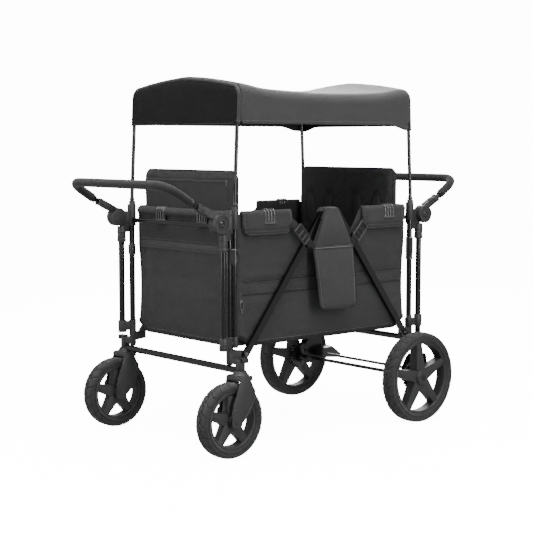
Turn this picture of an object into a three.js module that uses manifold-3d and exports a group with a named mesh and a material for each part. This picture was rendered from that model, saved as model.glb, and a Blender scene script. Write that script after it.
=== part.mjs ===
// Folding four-seat wagon with a push and pull handle at each end and a canopy, in millimetres, +Z up.
// The origin is on the ground at the middle. -X is the front (swivel casters), +X is the rear (brake wheels),
// -Y is the wagon's left side. Corner parts are drawn once, in the quadrant where +X points away from the
// middle and +Y points outboard, and each corner group mirrors them into place.

import * as THREE from 'three';
import { mergeVertices } from 'three/addons/utils/BufferGeometryUtils.js';
import Module from 'manifold-3d';

const wasm = await Module();
wasm.setup();

// ---------- driving dimensions ----------

const GAP = 0.3; // running gap left between pieces that nearly touch
const RIM_Z = 720; // top of the corner posts
const POST = { x: 385, y: 248, r: 9 };
const POLE = { x: 374.5, y: 260, r: 6, foot: 335 }; // canopy pole, beside the post
const STAY = { x: 417.5, y: 260, r: 9.5, foot: 322, top: 648 };
const HUB = { x: 434, z: 685, r: 29, inner: 246, middle: 259.75, outer: 275.5 };
const HANDLE = {
  tilt: 26.5, lift: 13.5, socketStart: 6, socketEnd: 92, socketWide: 20, tubeY: 254,
  x: 614, y: 250, z: 800, bend: 60, foam: 13.5, tube: 8,
};
const BUTTON = { r: 9, travel: 4, out: 277.5, back: 269.5 };
const LOWER_BAR = { frontZ: 254.5, rearZ: 272, high: 20, wide: 15 };
const RIM_BAR = { x: 387, z: 674, r: 7 };
const LINK = { footX: 342, footZ: 295, topX: 36, topZ: 700, y: 262.5, thick: 12, width: 20, pin: 4 };
const STEM = { x: 383, y: 294, r: 14.5, bottom: 255, top: 290, pin: 8 };
const CASTER = { x: 424, radius: 112, opening: 78, width: 48, fork: 28.5, leg: 5.5, bolt: 5 };
const REAR_WHEEL = { x: 370, y: 306, radius: 149, opening: 113, width: 50, axle: 6, half: 331 };
const BRAKE = { x: 430, z: 158, r: 5, housingIn: 243, housingOut: 272, pedal: 38 };
const TUB = { halfX: 366, halfY: 256, bottom: 312, top: 712, wall: 5, corner: 28 };
const DIP = { outer: 150, inner: 78, z: 600 }; // the side walls dip towards the middle hinge
const MAT = { halfX: 354, halfY: 244, bottom: 317.5, top: 333, corner: 22 };
const SEAT = { back: 316, depth: 200, halfY: 228, top: 500, thick: 45 };
const BACKREST = { outer: 357, thick: 38, halfY: 238, bottom: 345, top: 850, corner: 32 };
const HOOP = { leanZ: 752, x: 359, y: 258, eaveZ: 1075, apexZ: 1104, bend: 44 };
const CANOPY = {
  halfX: 374, halfY: 270, hoopX: 346, wall: 3, hem: 975, eave: 1087, apex: 1116,
  sag: 28, // drop of the ridge half way between the hoops
  taper: 0.013, // lean of the end panels towards the middle
};
const COVER = {
  topHalf: 28, creaseHalf: 84, hemHalf: 78, top: 722, crease: 597, hem: 408, thick: 5, flare: 34,
};

// ---------- materials ----------

const finish = (color, roughness, metalness) =>
  new THREE.MeshStandardMaterial({ color, roughness, metalness });
const STEEL = finish('#3a3a3c', 0.42, 0.6);
const PLASTIC = finish('#474748', 0.6, 0);
const DARK_PLASTIC = finish('#2b2b2c', 0.55, 0);
const FABRIC = finish('#3b3b3b', 0.9, 0);
const PADDING = finish('#343434', 0.92, 0);
const FOAM = finish('#3a3a3a', 0.95, 0);
const RUBBER = finish('#424242', 0.88, 0);
const BARE_STEEL = finish('#77787a', 0.35, 0.9);

// ---------- solids ----------

/** A closed geometry as a manifold solid that can be joined and cut. */
function toSolid(geometry) {
  const bare = geometry.clone();
  bare.deleteAttribute('normal');
  bare.deleteAttribute('uv');
  const merged = mergeVertices(bare, 1e-4);
  return new wasm.Manifold(new wasm.Mesh({
    numProp: 3,
    vertProperties: new Float32Array(merged.attributes.position.array),
    triVerts: new Uint32Array(merged.index.array),
  }));
}

function toGeometry(solid) {
  const mesh = solid.getMesh();
  const geometry = new THREE.BufferGeometry();
  geometry.setAttribute('position', new THREE.BufferAttribute(mesh.vertProperties, 3));
  geometry.setIndex(new THREE.BufferAttribute(mesh.triVerts, 1));
  geometry.computeVertexNormals();
  return geometry;
}

const fuse = (...shapes) => toGeometry(shapes.map(toSolid).reduce((a, b) => a.add(b)));
const carve = (shape, ...tools) =>
  toGeometry(tools.map(toSolid).reduce((a, b) => a.subtract(b), toSolid(shape)));

/** A round bar between two points. */
function rod(radius, from, to, sides = 12) {
  const a = new THREE.Vector3(...from);
  const b = new THREE.Vector3(...to);
  const geometry = new THREE.CylinderGeometry(radius, radius, a.distanceTo(b), sides);
  const way = b.clone().sub(a).normalize();
  const turn = new THREE.Quaternion().setFromUnitVectors(new THREE.Vector3(0, 1, 0), way);
  return geometry.applyQuaternion(turn).translate(...a.add(b).multiplyScalar(0.5).toArray());
}

const upright = (radius, x, y, z0, z1, sides = 12) => rod(radius, [x, y, z0], [x, y, z1], sides);
const acrossRod = (radius, x, z, y0, y1, sides = 12) => rod(radius, [x, y0, z], [x, y1, z], sides);

function block(x0, x1, y0, y1, z0, z1) {
  const box = new THREE.BoxGeometry(x1 - x0, y1 - y0, z1 - z0);
  return box.translate((x0 + x1) / 2, (y0 + y1) / 2, (z0 + z1) / 2);
}

const outline = (points) => new THREE.Shape(points.map(([a, b]) => new THREE.Vector2(a, b)));

/** A side-view outline in X and Z, given thickness from y0 to y1. */
function sideSlab(shape, y0, y1, curveSegments = 6) {
  const geometry = new THREE.ExtrudeGeometry(shape, { depth: y1 - y0, bevelEnabled: false, curveSegments });
  return geometry.rotateX(Math.PI / 2).translate(0, y1, 0);
}

/** An end-view outline in Y and Z, given thickness from x0 to x1. */
function endSlab(shape, x0, x1, curveSegments = 4) {
  const geometry = new THREE.ExtrudeGeometry(shape, { depth: x1 - x0, bevelEnabled: false, curveSegments });
  const turn = new THREE.Matrix4().makeBasis(
    new THREE.Vector3(0, 1, 0), new THREE.Vector3(0, 0, 1), new THREE.Vector3(1, 0, 0));
  return geometry.applyMatrix4(turn).translate(x0, 0, 0);
}

/** A plan outline in X and Y, given height from z0 to z1. */
function planSlab(shape, z0, z1, curveSegments = 4) {
  const geometry = new THREE.ExtrudeGeometry(shape, { depth: z1 - z0, bevelEnabled: false, curveSegments });
  return geometry.translate(0, 0, z0);
}

function roundedRectangle(a0, a1, b0, b1, r) {
  const shape = new THREE.Shape();
  shape.moveTo(a0 + r, b0);
  shape.lineTo(a1 - r, b0).absarc(a1 - r, b0 + r, r, -Math.PI / 2, 0);
  shape.lineTo(a1, b1 - r).absarc(a1 - r, b1 - r, r, 0, Math.PI / 2);
  shape.lineTo(a0 + r, b1).absarc(a0 + r, b1 - r, r, Math.PI / 2, Math.PI);
  shape.lineTo(a0, b0 + r).absarc(a0 + r, b0 + r, r, Math.PI, 1.5 * Math.PI);
  return shape;
}

/** Straight runs between the given points, with each inner corner rounded to its own radius. */
function roundedPath(points, radii) {
  const path = new THREE.CurvePath();
  const at = points.map((p) => new THREE.Vector3(...p));
  let from = at[0];
  for (let i = 1; i < at.length - 1; i += 1) {
    const before = at[i].clone().add(at[i - 1].clone().sub(at[i]).setLength(radii[i - 1]));
    const after = at[i].clone().add(at[i + 1].clone().sub(at[i]).setLength(radii[i - 1]));
    path.add(new THREE.LineCurve3(from, before));
    path.add(new THREE.QuadraticBezierCurve3(before, at[i], after));
    from = after;
  }
  path.add(new THREE.LineCurve3(from, at[at.length - 1]));
  return path;
}

function tubeAlong(path, radius, steps, sides) {
  const section = new THREE.Shape();
  section.absarc(0, 0, radius, 0, 2 * Math.PI);
  return new THREE.ExtrudeGeometry(section, { extrudePath: path, steps, curveSegments: sides / 2 });
}

/** A solid through a row of closed sections that all have the same number of points. */
function loft(sections) {
  const count = sections[0].length;
  const positions = sections.flat(2);
  const index = [];
  for (let s = 0; s < sections.length - 1; s += 1) {
    for (let i = 0; i < count; i += 1) {
      const a = s * count + i;
      const b = s * count + ((i + 1) % count);
      index.push(a, b, a + count, b, b + count, a + count);
    }
  }
  const flat = sections[0].map(([, y, z]) => new THREE.Vector2(y, z));
  const last = (sections.length - 1) * count;
  for (const [a, b, c] of THREE.ShapeUtils.triangulateShape(flat, [])) {
    index.push(a, c, b, last + a, last + b, last + c);
  }
  const geometry = new THREE.BufferGeometry();
  geometry.setAttribute('position', new THREE.Float32BufferAttribute(positions, 3));
  geometry.setIndex(index);
  return geometry;
}

// ---------- corner frame parts ----------

const postTube = (bottom) => upright(POST.r, POST.x, POST.y, bottom, RIM_Z);

/** Moulded bracket on the post head: pole sleeve, stay collar and the fixed half of the handle hub. */
function topBracket() {
  const body = fuse(
    upright(13.5, POST.x, POST.y, 655, RIM_Z + 4),
    upright(10.5, POLE.x, POLE.y, 668, RIM_Z + 14),
    block(POST.x, HUB.x, HUB.inner, HUB.middle - GAP, 664, 702),
    upright(13.5, STAY.x, STAY.y - 1, 604, 654, 14),
    block(POST.x, STAY.x + 8, 248, 258, 636, 670),
    acrossRod(HUB.r - 1, HUB.x, HUB.z, HUB.inner, HUB.middle - GAP, 24),
  );
  return carve(
    body,
    upright(POST.r + GAP, POST.x, POST.y, 600, RIM_Z + GAP),
    upright(POLE.r + GAP, POLE.x, POLE.y, 600, RIM_Z + 30),
    upright(STAY.r + GAP, STAY.x, STAY.y, 600, STAY.top + GAP),
  );
}

/** Front casting: holds the stay, pole and post, and ends in the caster housing and the link's pin. */
function frontLowerBracket() {
  const body = fuse(
    upright(13.5, STAY.x, STAY.y, 312, 350, 14),
    upright(11, POST.x, POST.y, 271, 350),
    upright(9.5, POLE.x, POLE.y, 318, 350),
    block(POST.x, STAY.x, 246, 262, 318, 346),
    upright(STEM.r, STEM.x, STEM.y, STEM.bottom, STEM.top, 16),
    block(POST.x - 9, POST.x + 7, 250, 284, 272, STEM.top),
    linkLug(),
  );
  return carve(
    body,
    upright(STAY.r + GAP, STAY.x, STAY.y, STAY.foot - GAP, 360),
    upright(POST.r + GAP, POST.x, POST.y, 260, 360),
    upright(POLE.r + GAP, POLE.x, POLE.y, POLE.foot - GAP, 360),
    upright(STEM.pin + GAP, STEM.x, STEM.y, 250, STEM.top - 4),
  );
}

/** Rear bracket: the leg runs through it, and it holds the post's foot, the pole and the link's pin. */
function rearFootBracket() {
  const body = fuse(
    upright(13.5, STAY.x, STAY.y, 312, 350, 14),
    upright(12.5, POST.x, POST.y, 260, 340),
    upright(9.5, POLE.x, POLE.y, 318, 350),
    block(POST.x, STAY.x, 246, 262, 314, 338),
    linkLug(),
  );
  return carve(
    body,
    upright(STAY.r + GAP, STAY.x, STAY.y, 300, 360),
    upright(POST.r + GAP, POST.x, POST.y, 284 - GAP, 360),
    upright(POLE.r + GAP, POLE.x, POLE.y, POLE.foot - GAP, 360),
  );
}

/** Ear and pin that carry the foot of a side link. */
function linkLug() {
  const ear = outline([
    [LINK.footX - 12, LINK.footZ - 10], [POST.x, 281], [POST.x, 313],
    [LINK.footX - 12, LINK.footZ + 10],
  ]);
  return fuse(
    sideSlab(ear, 252, LINK.y - GAP),
    acrossRod(LINK.pin, LINK.footX, LINK.footZ, 253, LINK.y + LINK.thick),
  );
}

const handleStay = () => upright(STAY.r, STAY.x, STAY.y, STAY.foot, STAY.top);

/** Rear leg: the stay runs on down to the axle block, which also carries the brake rod. */
function rearWheelLeg() {
  const { housingIn, housingOut } = BRAKE;
  const housing = new THREE.Shape();
  housing.moveTo(352, 150).quadraticCurveTo(352, 128, 376, 124);
  housing.lineTo(440, 124).quadraticCurveTo(454, 128, 455, 145);
  housing.lineTo(450, 205).quadraticCurveTo(447, 216, 436, 218);
  housing.lineTo(392, 218).quadraticCurveTo(366, 200, 352, 150);
  const body = fuse(
    upright(STAY.r, STAY.x, STAY.y, 180, STAY.top),
    sideSlab(housing, housingIn, housingOut, 4),
  );
  return carve(
    body,
    acrossRod(REAR_WHEEL.axle + GAP, REAR_WHEEL.x, REAR_WHEEL.radius, 230, 290),
    acrossRod(BRAKE.r + GAP, BRAKE.x, BRAKE.z, 230, 256),
  );
}

/** Flat-oval bar across the wagon, between -half and +half. */
function crossBar(x, z, half) {
  const section = roundedRectangle(x - LOWER_BAR.wide / 2, x + LOWER_BAR.wide / 2,
    z - LOWER_BAR.high / 2, z + LOWER_BAR.high / 2, LOWER_BAR.wide / 2 - 0.5);
  return sideSlab(section, -half, half, 3);
}

/** Side link: flat-oval bar from the foot pin up to the middle hinge, with an eye at each end. */
function sideLink() {
  const run = Math.hypot(LINK.footX - LINK.topX, LINK.topZ - LINK.footZ);
  const half = LINK.width / 2;
  const bar = new THREE.Shape();
  bar.absarc(0, 0, half, Math.PI / 2, 1.5 * Math.PI);
  bar.absarc(run, 0, half, -Math.PI / 2, Math.PI / 2);
  const eye = (x) => new THREE.Path().absarc(x, 0, LINK.pin + GAP, 0, 2 * Math.PI);
  bar.holes.push(eye(0), eye(run));
  const slope = Math.atan2(LINK.topZ - LINK.footZ, LINK.topX - LINK.footX);
  return sideSlab(bar, LINK.y, LINK.y + LINK.thick, 5)
    .rotateY(-slope).translate(LINK.footX, 0, LINK.footZ);
}

// ---------- wheels ----------

/** Rubber ring with a rounded shoulder, turned about Y. */
function tyre({ radius, opening, width }, segments) {
  const bead = opening + 6 + GAP;
  const half = width / 2;
  const profile = [
    [bead, -half + 5], [bead + 7, -half], [radius - 14, -half], [radius - 4, -half + 6], [radius, -half + 14],
    [radius, half - 14], [radius - 4, half - 6], [radius - 14, half], [bead + 7, half], [bead, half - 5],
    [bead, -half + 5],
  ];
  return new THREE.LatheGeometry(profile.map(([r, y]) => new THREE.Vector2(r, y)), segments);
}

/** Moulded rim with five tapered spokes and a bored hub, turned about Y between its two hub ends. */
function spokedRim({ opening, width }, segments, hub, bore, inboard, outboard, boreEnd) {
  const half = width / 2 - 6;
  const ring = [
    [opening, -half], [opening + 6, -half - 1], [opening + 6, half + 1], [opening, half], [opening, -half],
  ];
  const pieces = [
    new THREE.LatheGeometry(ring.map(([r, y]) => new THREE.Vector2(r, y)), segments),
    acrossRod(hub, 0, 0, inboard, outboard, 20),
  ];
  const spoke = outline([[hub - 6, -13], [opening + 3, -14], [opening + 3, 14], [hub - 6, 13]]);
  for (let i = 0; i < 5; i += 1) {
    pieces.push(sideSlab(spoke, -8, 8).rotateY(-(0.3 + (i * 2 * Math.PI) / 5)));
  }
  return carve(fuse(...pieces), acrossRod(bore, 0, 0, inboard - 5, boreEnd, 12));
}

/** Caster fork: stem pin, crown and two legs joined by the wheel bolt. */
function casterFork() {
  const { fork, leg } = CASTER;
  const plate = new THREE.Shape();
  plate.moveTo(363, 242);
  plate.lineTo(371, 226).lineTo(353, 198);
  plate.quadraticCurveTo(352, 168, 376, 134);
  plate.quadraticCurveTo(398, 100, 424, 98);
  plate.quadraticCurveTo(440, 106, 439, 130);
  plate.lineTo(436, 160).lineTo(409, 226).lineTo(403, 242);
  const crown = new THREE.Shape();
  crown.absarc(STEM.x, STEM.y, fork - 1.5, 0, 2 * Math.PI);
  return fuse(
    planSlab(crown, 230, 243, 10),
    block(363, 410, STEM.y - fork - leg + 1, STEM.y + fork + leg - 1, 228, 240),
    upright(STEM.r - 1, STEM.x, STEM.y, 240, STEM.bottom - GAP, 16),
    sideSlab(plate, STEM.y + fork, STEM.y + fork + leg, 4),
    sideSlab(plate, STEM.y - fork - leg, STEM.y - fork, 4),
    acrossRod(CASTER.bolt, CASTER.x, CASTER.radius, STEM.y - fork - leg, STEM.y + fork + leg),
    upright(STEM.pin, STEM.x, STEM.y, 240, STEM.top - 5),
  );
}

/** Swivel lock tab that lifts off the caster housing. */
const swivelLock = () => fuse(
  block(STEM.x - 9, STEM.x + 9, STEM.y - 4, STEM.y + 28, STEM.top + GAP, STEM.top + 5),
  block(STEM.x - 9, STEM.x + 9, STEM.y + 20, STEM.y + 28, STEM.top - 10, STEM.top + 5),
);

/** One rod with a pedal beside each rear wheel. */
function brakeBar() {
  const pedal = new THREE.Shape();
  pedal.moveTo(BRAKE.x - 12, BRAKE.z + 8);
  pedal.quadraticCurveTo(BRAKE.x - 14, BRAKE.z - 12, BRAKE.x + 4, BRAKE.z - 14);
  pedal.lineTo(BRAKE.x + 62, BRAKE.z - 20).lineTo(BRAKE.x + 84, BRAKE.z - 10);
  pedal.lineTo(BRAKE.x + 40, BRAKE.z + 22);
  pedal.quadraticCurveTo(BRAKE.x + 4, BRAKE.z + 26, BRAKE.x - 12, BRAKE.z + 8);
  const out = BRAKE.housingIn - 1;
  return fuse(
    acrossRod(BRAKE.r, BRAKE.x, BRAKE.z, -255, 255),
    sideSlab(pedal, out - BRAKE.pedal, out, 4),
    sideSlab(pedal, -out, -out + BRAKE.pedal, 4),
  );
}

// ---------- handles ----------

/** The place d along a handle arm's centre line, which runs above the hub's own centre. */
function alongArm(d, y) {
  const tilt = THREE.MathUtils.degToRad(HANDLE.tilt);
  const [run, rise] = [Math.cos(tilt), Math.sin(tilt)];
  return [HUB.x + d * run - HANDLE.lift * rise, y, HUB.z + d * rise + HANDLE.lift * run];
}

/** Half of a hub that turns, with the socket that holds the handle's tube. */
function handleArm() {
  const { socketStart, socketEnd, socketWide, tube, tubeY } = HANDLE;
  const bore = tube / Math.cos(Math.PI / 10) + GAP; // clears the corners of the ten-sided tube at any turn
  const socket = new THREE.BoxGeometry(socketEnd - socketStart, socketWide, socketWide)
    .translate((socketStart + socketEnd) / 2, 0, HANDLE.lift)
    .rotateY(-THREE.MathUtils.degToRad(HANDLE.tilt))
    .translate(HUB.x, tubeY, HUB.z);
  const clear = acrossRod(HUB.r + 3, HUB.x, HUB.z, 230, HUB.middle, 24);
  return carve(
    fuse(carve(socket, clear), acrossRod(HUB.r, HUB.x, HUB.z, HUB.middle, HUB.outer, 24)),
    acrossRod(BUTTON.r + GAP, HUB.x, HUB.z, BUTTON.back - BUTTON.travel - 0.6, HUB.outer + 5, 16),
    rod(bore, alongArm(56, tubeY), alongArm(socketEnd + 5, tubeY), 10),
  );
}

/** Foam-covered bar with a bare tube at each end that plugs into the arm sockets. */
function handleGrip() {
  const { x, y, z, tube, tubeY } = HANDLE;
  const foam = roundedPath(
    [alongArm(112, -252), [x, -y, z], [x, y, z], alongArm(112, 252)],
    [HANDLE.bend, HANDLE.bend],
  );
  return fuse(
    tubeAlong(foam, HANDLE.foam, 24, 10),
    rod(tube, alongArm(60, -tubeY), alongArm(122, -tubeY), 10),
    rod(tube, alongArm(60, tubeY), alongArm(122, tubeY), 10),
  );
}

const hubButton = () => acrossRod(BUTTON.r, HUB.x, HUB.z, BUTTON.back, BUTTON.out, 16);

// ---------- fabric body ----------

/** Open-topped fabric body; the side walls dip in a V towards the middle hinge. */
function tub() {
  const { halfX, halfY, bottom, top, wall, corner } = TUB;
  const plan = (inset) => roundedRectangle(-halfX + inset, halfX - inset, -halfY + inset, halfY - inset,
    corner - inset);
  const dip = outline([[-DIP.outer, top + 5], [-DIP.inner, DIP.z], [DIP.inner, DIP.z], [DIP.outer, top + 5]]);
  return carve(
    planSlab(plan(0), bottom, top, 3),
    planSlab(plan(wall), bottom + wall, top + 10, 3),
    sideSlab(dip, -halfY - 20, halfY + 20),
  );
}

function baseMat() {
  const { halfX, halfY, corner, bottom, top } = MAT;
  return planSlab(roundedRectangle(-halfX, halfX, -halfY, halfY, corner), bottom, top, 3);
}

function seatBench() {
  const { back, depth, halfY, top, thick } = SEAT;
  return planSlab(roundedRectangle(back - depth, back, -halfY, halfY, 20), top - thick, top, 3);
}

function backrest() {
  const { outer, thick, halfY, bottom, top, corner } = BACKREST;
  return endSlab(roundedRectangle(-halfY, halfY, bottom, top, corner), outer - thick, outer, 4);
}

/** Hanging cover over the middle hinge: a flared upper panel, and a long flap that stands off below. */
function hingeCover() {
  const { topHalf, creaseHalf, hemHalf, top, crease, hem, thick, flare } = COVER;
  const y = LINK.y + LINK.thick + 1.5;
  const profile = (x) => [
    [246, top - 9], [246, top], [y + thick - 3, top - 2], [y + thick + 8, crease], [y + thick + flare, hem],
    [y + flare, hem], [y + 8, crease], [y, top - 9],
  ].reverse().map(([b, c]) => [x, b, c]);
  const front = outline([
    [-topHalf, top + 5], [-creaseHalf, crease], [-hemHalf, hem - 5], [hemHalf, hem - 5], [creaseHalf, crease],
    [topHalf, top + 5],
  ]);
  const sheet = toSolid(loft([profile(-creaseHalf - 5), profile(creaseHalf + 5)]));
  return toGeometry(sheet.intersect(toSolid(sideSlab(front, 200, 360))));
}

// ---------- canopy ----------

/** Inverted U of tube at one end of the canopy, from one pole foot to the other. */
function canopyHoop() {
  const half = (s) => [
    [POLE.x, s * POLE.y, POLE.foot], [POLE.x, s * POLE.y, HOOP.leanZ], [HOOP.x, s * HOOP.y, HOOP.eaveZ],
  ];
  const points = [...half(-1), [HOOP.x, 0, HOOP.apexZ], ...half(1).reverse()];
  return tubeAlong(roundedPath(points, [12, HOOP.bend, 30, HOOP.bend, 12]), POLE.r, 52, 8);
}

/** One continuous sheet: a peaked roof that sags between the hoops, with a hanging edge all round. */
function canopySheet() {
  const { halfX, halfY, hoopX, wall, hem, eave, apex, sag, taper } = CANOPY;
  const section = (x, inset, low) => {
    const droop = sag * Math.max(0, 1 - (x / hoopX) ** 2);
    const y = halfY - inset;
    const e = eave - inset - droop * 0.55;
    const a = apex - inset - droop;
    const roof = [[0, a], [24, a - 3], [y - 38, e + 3]];
    const half = [...roof, [y - 13, e - 5], [y - 3, e - 18], [y, e - 38], [y, low]];
    const mirrored = half.slice(1).reverse().map(([b, c]) => [-b, c]);
    const lean = (z) => 1 - taper * (z - hem) / (eave - hem);
    return [...mirrored, ...half].reverse().map(([b, c]) => [x * lean(c), b, c]);
  };
  const stations = (end) => [-end, -hoopX, -250, -130, 0, 130, 250, hoopX, end];
  const outer = loft(stations(halfX).map((x) => section(x, 0, hem)));
  const inner = loft(stations(halfX - wall).map((x) => section(x, wall, hem - 20)));
  return carve(outer, inner);
}

// ---------- assembly ----------

function piece(name, geometry, material) {
  const mesh = new THREE.Mesh(geometry, material);
  mesh.name = name;
  return mesh;
}

const wagon = new THREE.Group();
const ENDS = { front: -1, rear: 1 };
const SIDES = { left: -1, right: 1 };

for (const [end, endSign] of Object.entries(ENDS)) {
  const front = end === 'front';
  for (const [side, sideSign] of Object.entries(SIDES)) {
    const corner = new THREE.Group();
    corner.scale.set(endSign, sideSign, 1);
    const name = `${end}_${side}`;
    corner.add(
      piece(`${name}_post`, postTube(front ? 265.5 : 284), STEEL),
      piece(`${name}_top_bracket`, topBracket(), PLASTIC),
      piece(`${name}_lower_bracket`, front ? frontLowerBracket() : rearFootBracket(), PLASTIC),
      piece(`${name}_link`, sideLink(), STEEL),
      piece(`${name}_handle_arm`, handleArm(), PLASTIC),
      piece(`${name}_hub_button`, hubButton(), DARK_PLASTIC),
    );
    corner.add(front ? piece(`${name}_handle_stay`, handleStay(), STEEL)
      : piece(`${name}_wheel_leg`, rearWheelLeg(), STEEL));
    if (front) corner.add(...casterParts(name));
    else corner.add(...rearWheelParts(name));
    wagon.add(corner);
  }
  const half = new THREE.Group();
  half.scale.set(endSign, 1, 1);
  half.add(
    piece(`${end}_lower_bar`, front ? crossBar(STEM.x + 2, LOWER_BAR.frontZ, STEM.y - STEM.r - GAP)
      : crossBar(POST.x, LOWER_BAR.rearZ, POST.y - 12.5 - GAP), STEEL),
    piece(`${end}_rim_bar`, acrossRod(RIM_BAR.r, RIM_BAR.x, RIM_BAR.z, -234, 234), STEEL),
    piece(`${end}_handle_grip`, handleGrip(), FOAM),
    piece(`${end}_seat`, seatBench(), PADDING),
    piece(`${end}_backrest`, backrest(), PADDING),
    piece(`${end}_canopy_hoop`, canopyHoop(), STEEL),
  );
  wagon.add(half);
}

function casterParts(name) {
  const wheel = new THREE.Group();
  wheel.position.set(CASTER.x, STEM.y, CASTER.radius);
  const hubHalf = CASTER.fork - 1.5;
  wheel.add(
    piece(`${name}_caster_rim`,
      spokedRim(CASTER, 28, 18, CASTER.bolt + GAP, -hubHalf, hubHalf, hubHalf + 5), PLASTIC),
    piece(`${name}_caster_tyre`, tyre(CASTER, 28), RUBBER),
  );
  return [wheel, piece(`${name}_caster_fork`, casterFork(), PLASTIC),
    piece(`${name}_swivel_lock`, swivelLock(), DARK_PLASTIC)];
}

function rearWheelParts(name) {
  const wheel = new THREE.Group();
  wheel.position.set(REAR_WHEEL.x, REAR_WHEEL.y, REAR_WHEEL.radius);
  const boreEnd = REAR_WHEEL.half - REAR_WHEEL.y + GAP;
  wheel.add(
    piece(`${name}_rim`,
      spokedRim(REAR_WHEEL, 32, 24, REAR_WHEEL.axle + GAP, -32, boreEnd + 4, boreEnd), PLASTIC),
    piece(`${name}_tyre`, tyre(REAR_WHEEL, 32), RUBBER),
  );
  return [wheel];
}

for (const [side, sideSign] of Object.entries(SIDES)) {
  const half = new THREE.Group();
  half.scale.set(1, sideSign, 1);
  half.add(piece(`${side}_hinge_cover`, hingeCover(), FABRIC));
  wagon.add(half);
}

wagon.add(
  piece('rear_axle',
    acrossRod(REAR_WHEEL.axle, REAR_WHEEL.x, REAR_WHEEL.radius, -REAR_WHEEL.half, REAR_WHEEL.half),
    BARE_STEEL),
  piece('brake_bar', brakeBar(), DARK_PLASTIC),
  piece('fabric_tub', tub(), FABRIC),
  piece('base_mat', baseMat(), PADDING),
  piece('canopy_sheet', canopySheet(), FABRIC),
);

export default wagon;
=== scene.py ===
"""Folding four-seat wagon with a pull handle at each end: cloth, tubes, mouldings and wheels over the fixed frame.

Metres, +Z up. -X is the front with the swivel casters, +X the rear with the braked wheels, -Y the wagon's left.
Corner pieces are drawn once, in the quadrant where +X is away from the middle and +Y is outboard, and mirrored.
"""

import math

import bmesh
import bpy
from bpy.props import FloatProperty, FloatVectorProperty, IntProperty, PointerProperty
from bpy.types import Operator, Panel, PropertyGroup
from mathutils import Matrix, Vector, noise
from mathutils.bvhtree import BVHTree


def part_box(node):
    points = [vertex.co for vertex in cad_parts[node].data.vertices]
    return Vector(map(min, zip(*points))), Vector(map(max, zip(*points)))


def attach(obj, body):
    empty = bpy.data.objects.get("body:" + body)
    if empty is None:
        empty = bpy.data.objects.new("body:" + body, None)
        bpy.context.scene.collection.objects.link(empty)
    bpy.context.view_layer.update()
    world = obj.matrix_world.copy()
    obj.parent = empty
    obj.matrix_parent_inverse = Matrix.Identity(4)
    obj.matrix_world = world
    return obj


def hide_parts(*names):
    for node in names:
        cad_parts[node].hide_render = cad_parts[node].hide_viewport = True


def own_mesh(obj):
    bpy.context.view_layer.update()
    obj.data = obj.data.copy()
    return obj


bl_info = {
    "name": "Folding Wagon",
    "version": (1, 0, 0),
    "blender": (4, 5, 0),
    "location": "3D View > Sidebar > Wagon",
    "description": "Builds the cloth, tubes, mouldings and wheels of a folding four-seat wagon",
    "category": "Object",
}

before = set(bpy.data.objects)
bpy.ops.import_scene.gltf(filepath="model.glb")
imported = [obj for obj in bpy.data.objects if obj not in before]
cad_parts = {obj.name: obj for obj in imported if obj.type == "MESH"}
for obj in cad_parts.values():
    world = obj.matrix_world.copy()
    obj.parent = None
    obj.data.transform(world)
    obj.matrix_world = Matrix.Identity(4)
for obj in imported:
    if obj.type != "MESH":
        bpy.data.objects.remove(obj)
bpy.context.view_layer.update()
CORNERS = [(end, side) for end in ("front", "rear") for side in ("left", "right")]
SIGN = {"front": -1, "rear": 1, "left": -1, "right": 1}
HUB = (0.434, 0, 0.685)  # axis of a handle hub, in the corner quadrant
ARM_TILT = math.radians(26.5)
ARM_LIFT = 0.0135  # how far an arm's centre line runs above its hub's centre
ARM_Y = 0.254
WALL = (0.366, 0.256, 0.018)  # half length, half width and corner radius of the fabric body


# ---------- what a user would change ----------

class ClothLook(PropertyGroup):
    """Colours and weave of the fabric."""

    colour: FloatVectorProperty(name="Body cloth", description="Colour of the body and canopy cloth",
                                subtype="COLOR", size=3, min=0, max=1, default=(0.0194, 0.0194, 0.0198))
    padding: FloatVectorProperty(name="Padding cloth", description="Colour of backrests, benches and mat",
                                 subtype="COLOR", size=3, min=0, max=1, default=(0.0150, 0.0150, 0.0153))
    webbing: FloatVectorProperty(name="Webbing", description="Colour of straps and bindings",
                                 subtype="COLOR", size=3, min=0, max=1, default=(0.0070, 0.0070, 0.0072))
    yarn: FloatProperty(name="Yarn pitch", description="Distance between yarns of the weave",
                        unit="LENGTH", default=0.0016, min=0.0005, max=0.01)
    wrinkle: FloatProperty(name="Wrinkle height", description="Height of the soft dents in the body cloth",
                           unit="LENGTH", default=0.0030, min=0, max=0.01)


class FrameLook(PropertyGroup):
    """Colours of tubes, mouldings and rubber."""

    paint: FloatVectorProperty(name="Tube paint", description="Powder coat on the steel tubes",
                               subtype="COLOR", size=3, min=0, max=1, default=(0.0020, 0.0020, 0.0023))
    moulding: FloatVectorProperty(name="Mouldings", description="Brackets, hubs, forks and wheel rims",
                                  subtype="COLOR", size=3, min=0, max=1, default=(0.0165, 0.0165, 0.0172))
    black: FloatVectorProperty(name="Black mouldings", description="Buttons, clips, buckles and the brake",
                               subtype="COLOR", size=3, min=0, max=1, default=(0.0050, 0.0050, 0.0053))
    rubber: FloatVectorProperty(name="Rubber", description="Tyres", subtype="COLOR", size=3, min=0, max=1,
                                default=(0.0175, 0.0175, 0.0175))
    foam: FloatVectorProperty(name="Foam", description="Handle sleeves", subtype="COLOR", size=3, min=0, max=1,
                              default=(0.0070, 0.0070, 0.0073))


class WheelShape(PropertyGroup):
    """Tread of the tyres."""

    tread: FloatProperty(name="Tread depth", description="Depth of the grooves between the tread blocks",
                         unit="LENGTH", default=0.0044, min=0, max=0.006)
    lugs: IntProperty(name="Tread repeats", description="Zig-zags round a tyre", default=22, min=6, max=90)


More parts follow.
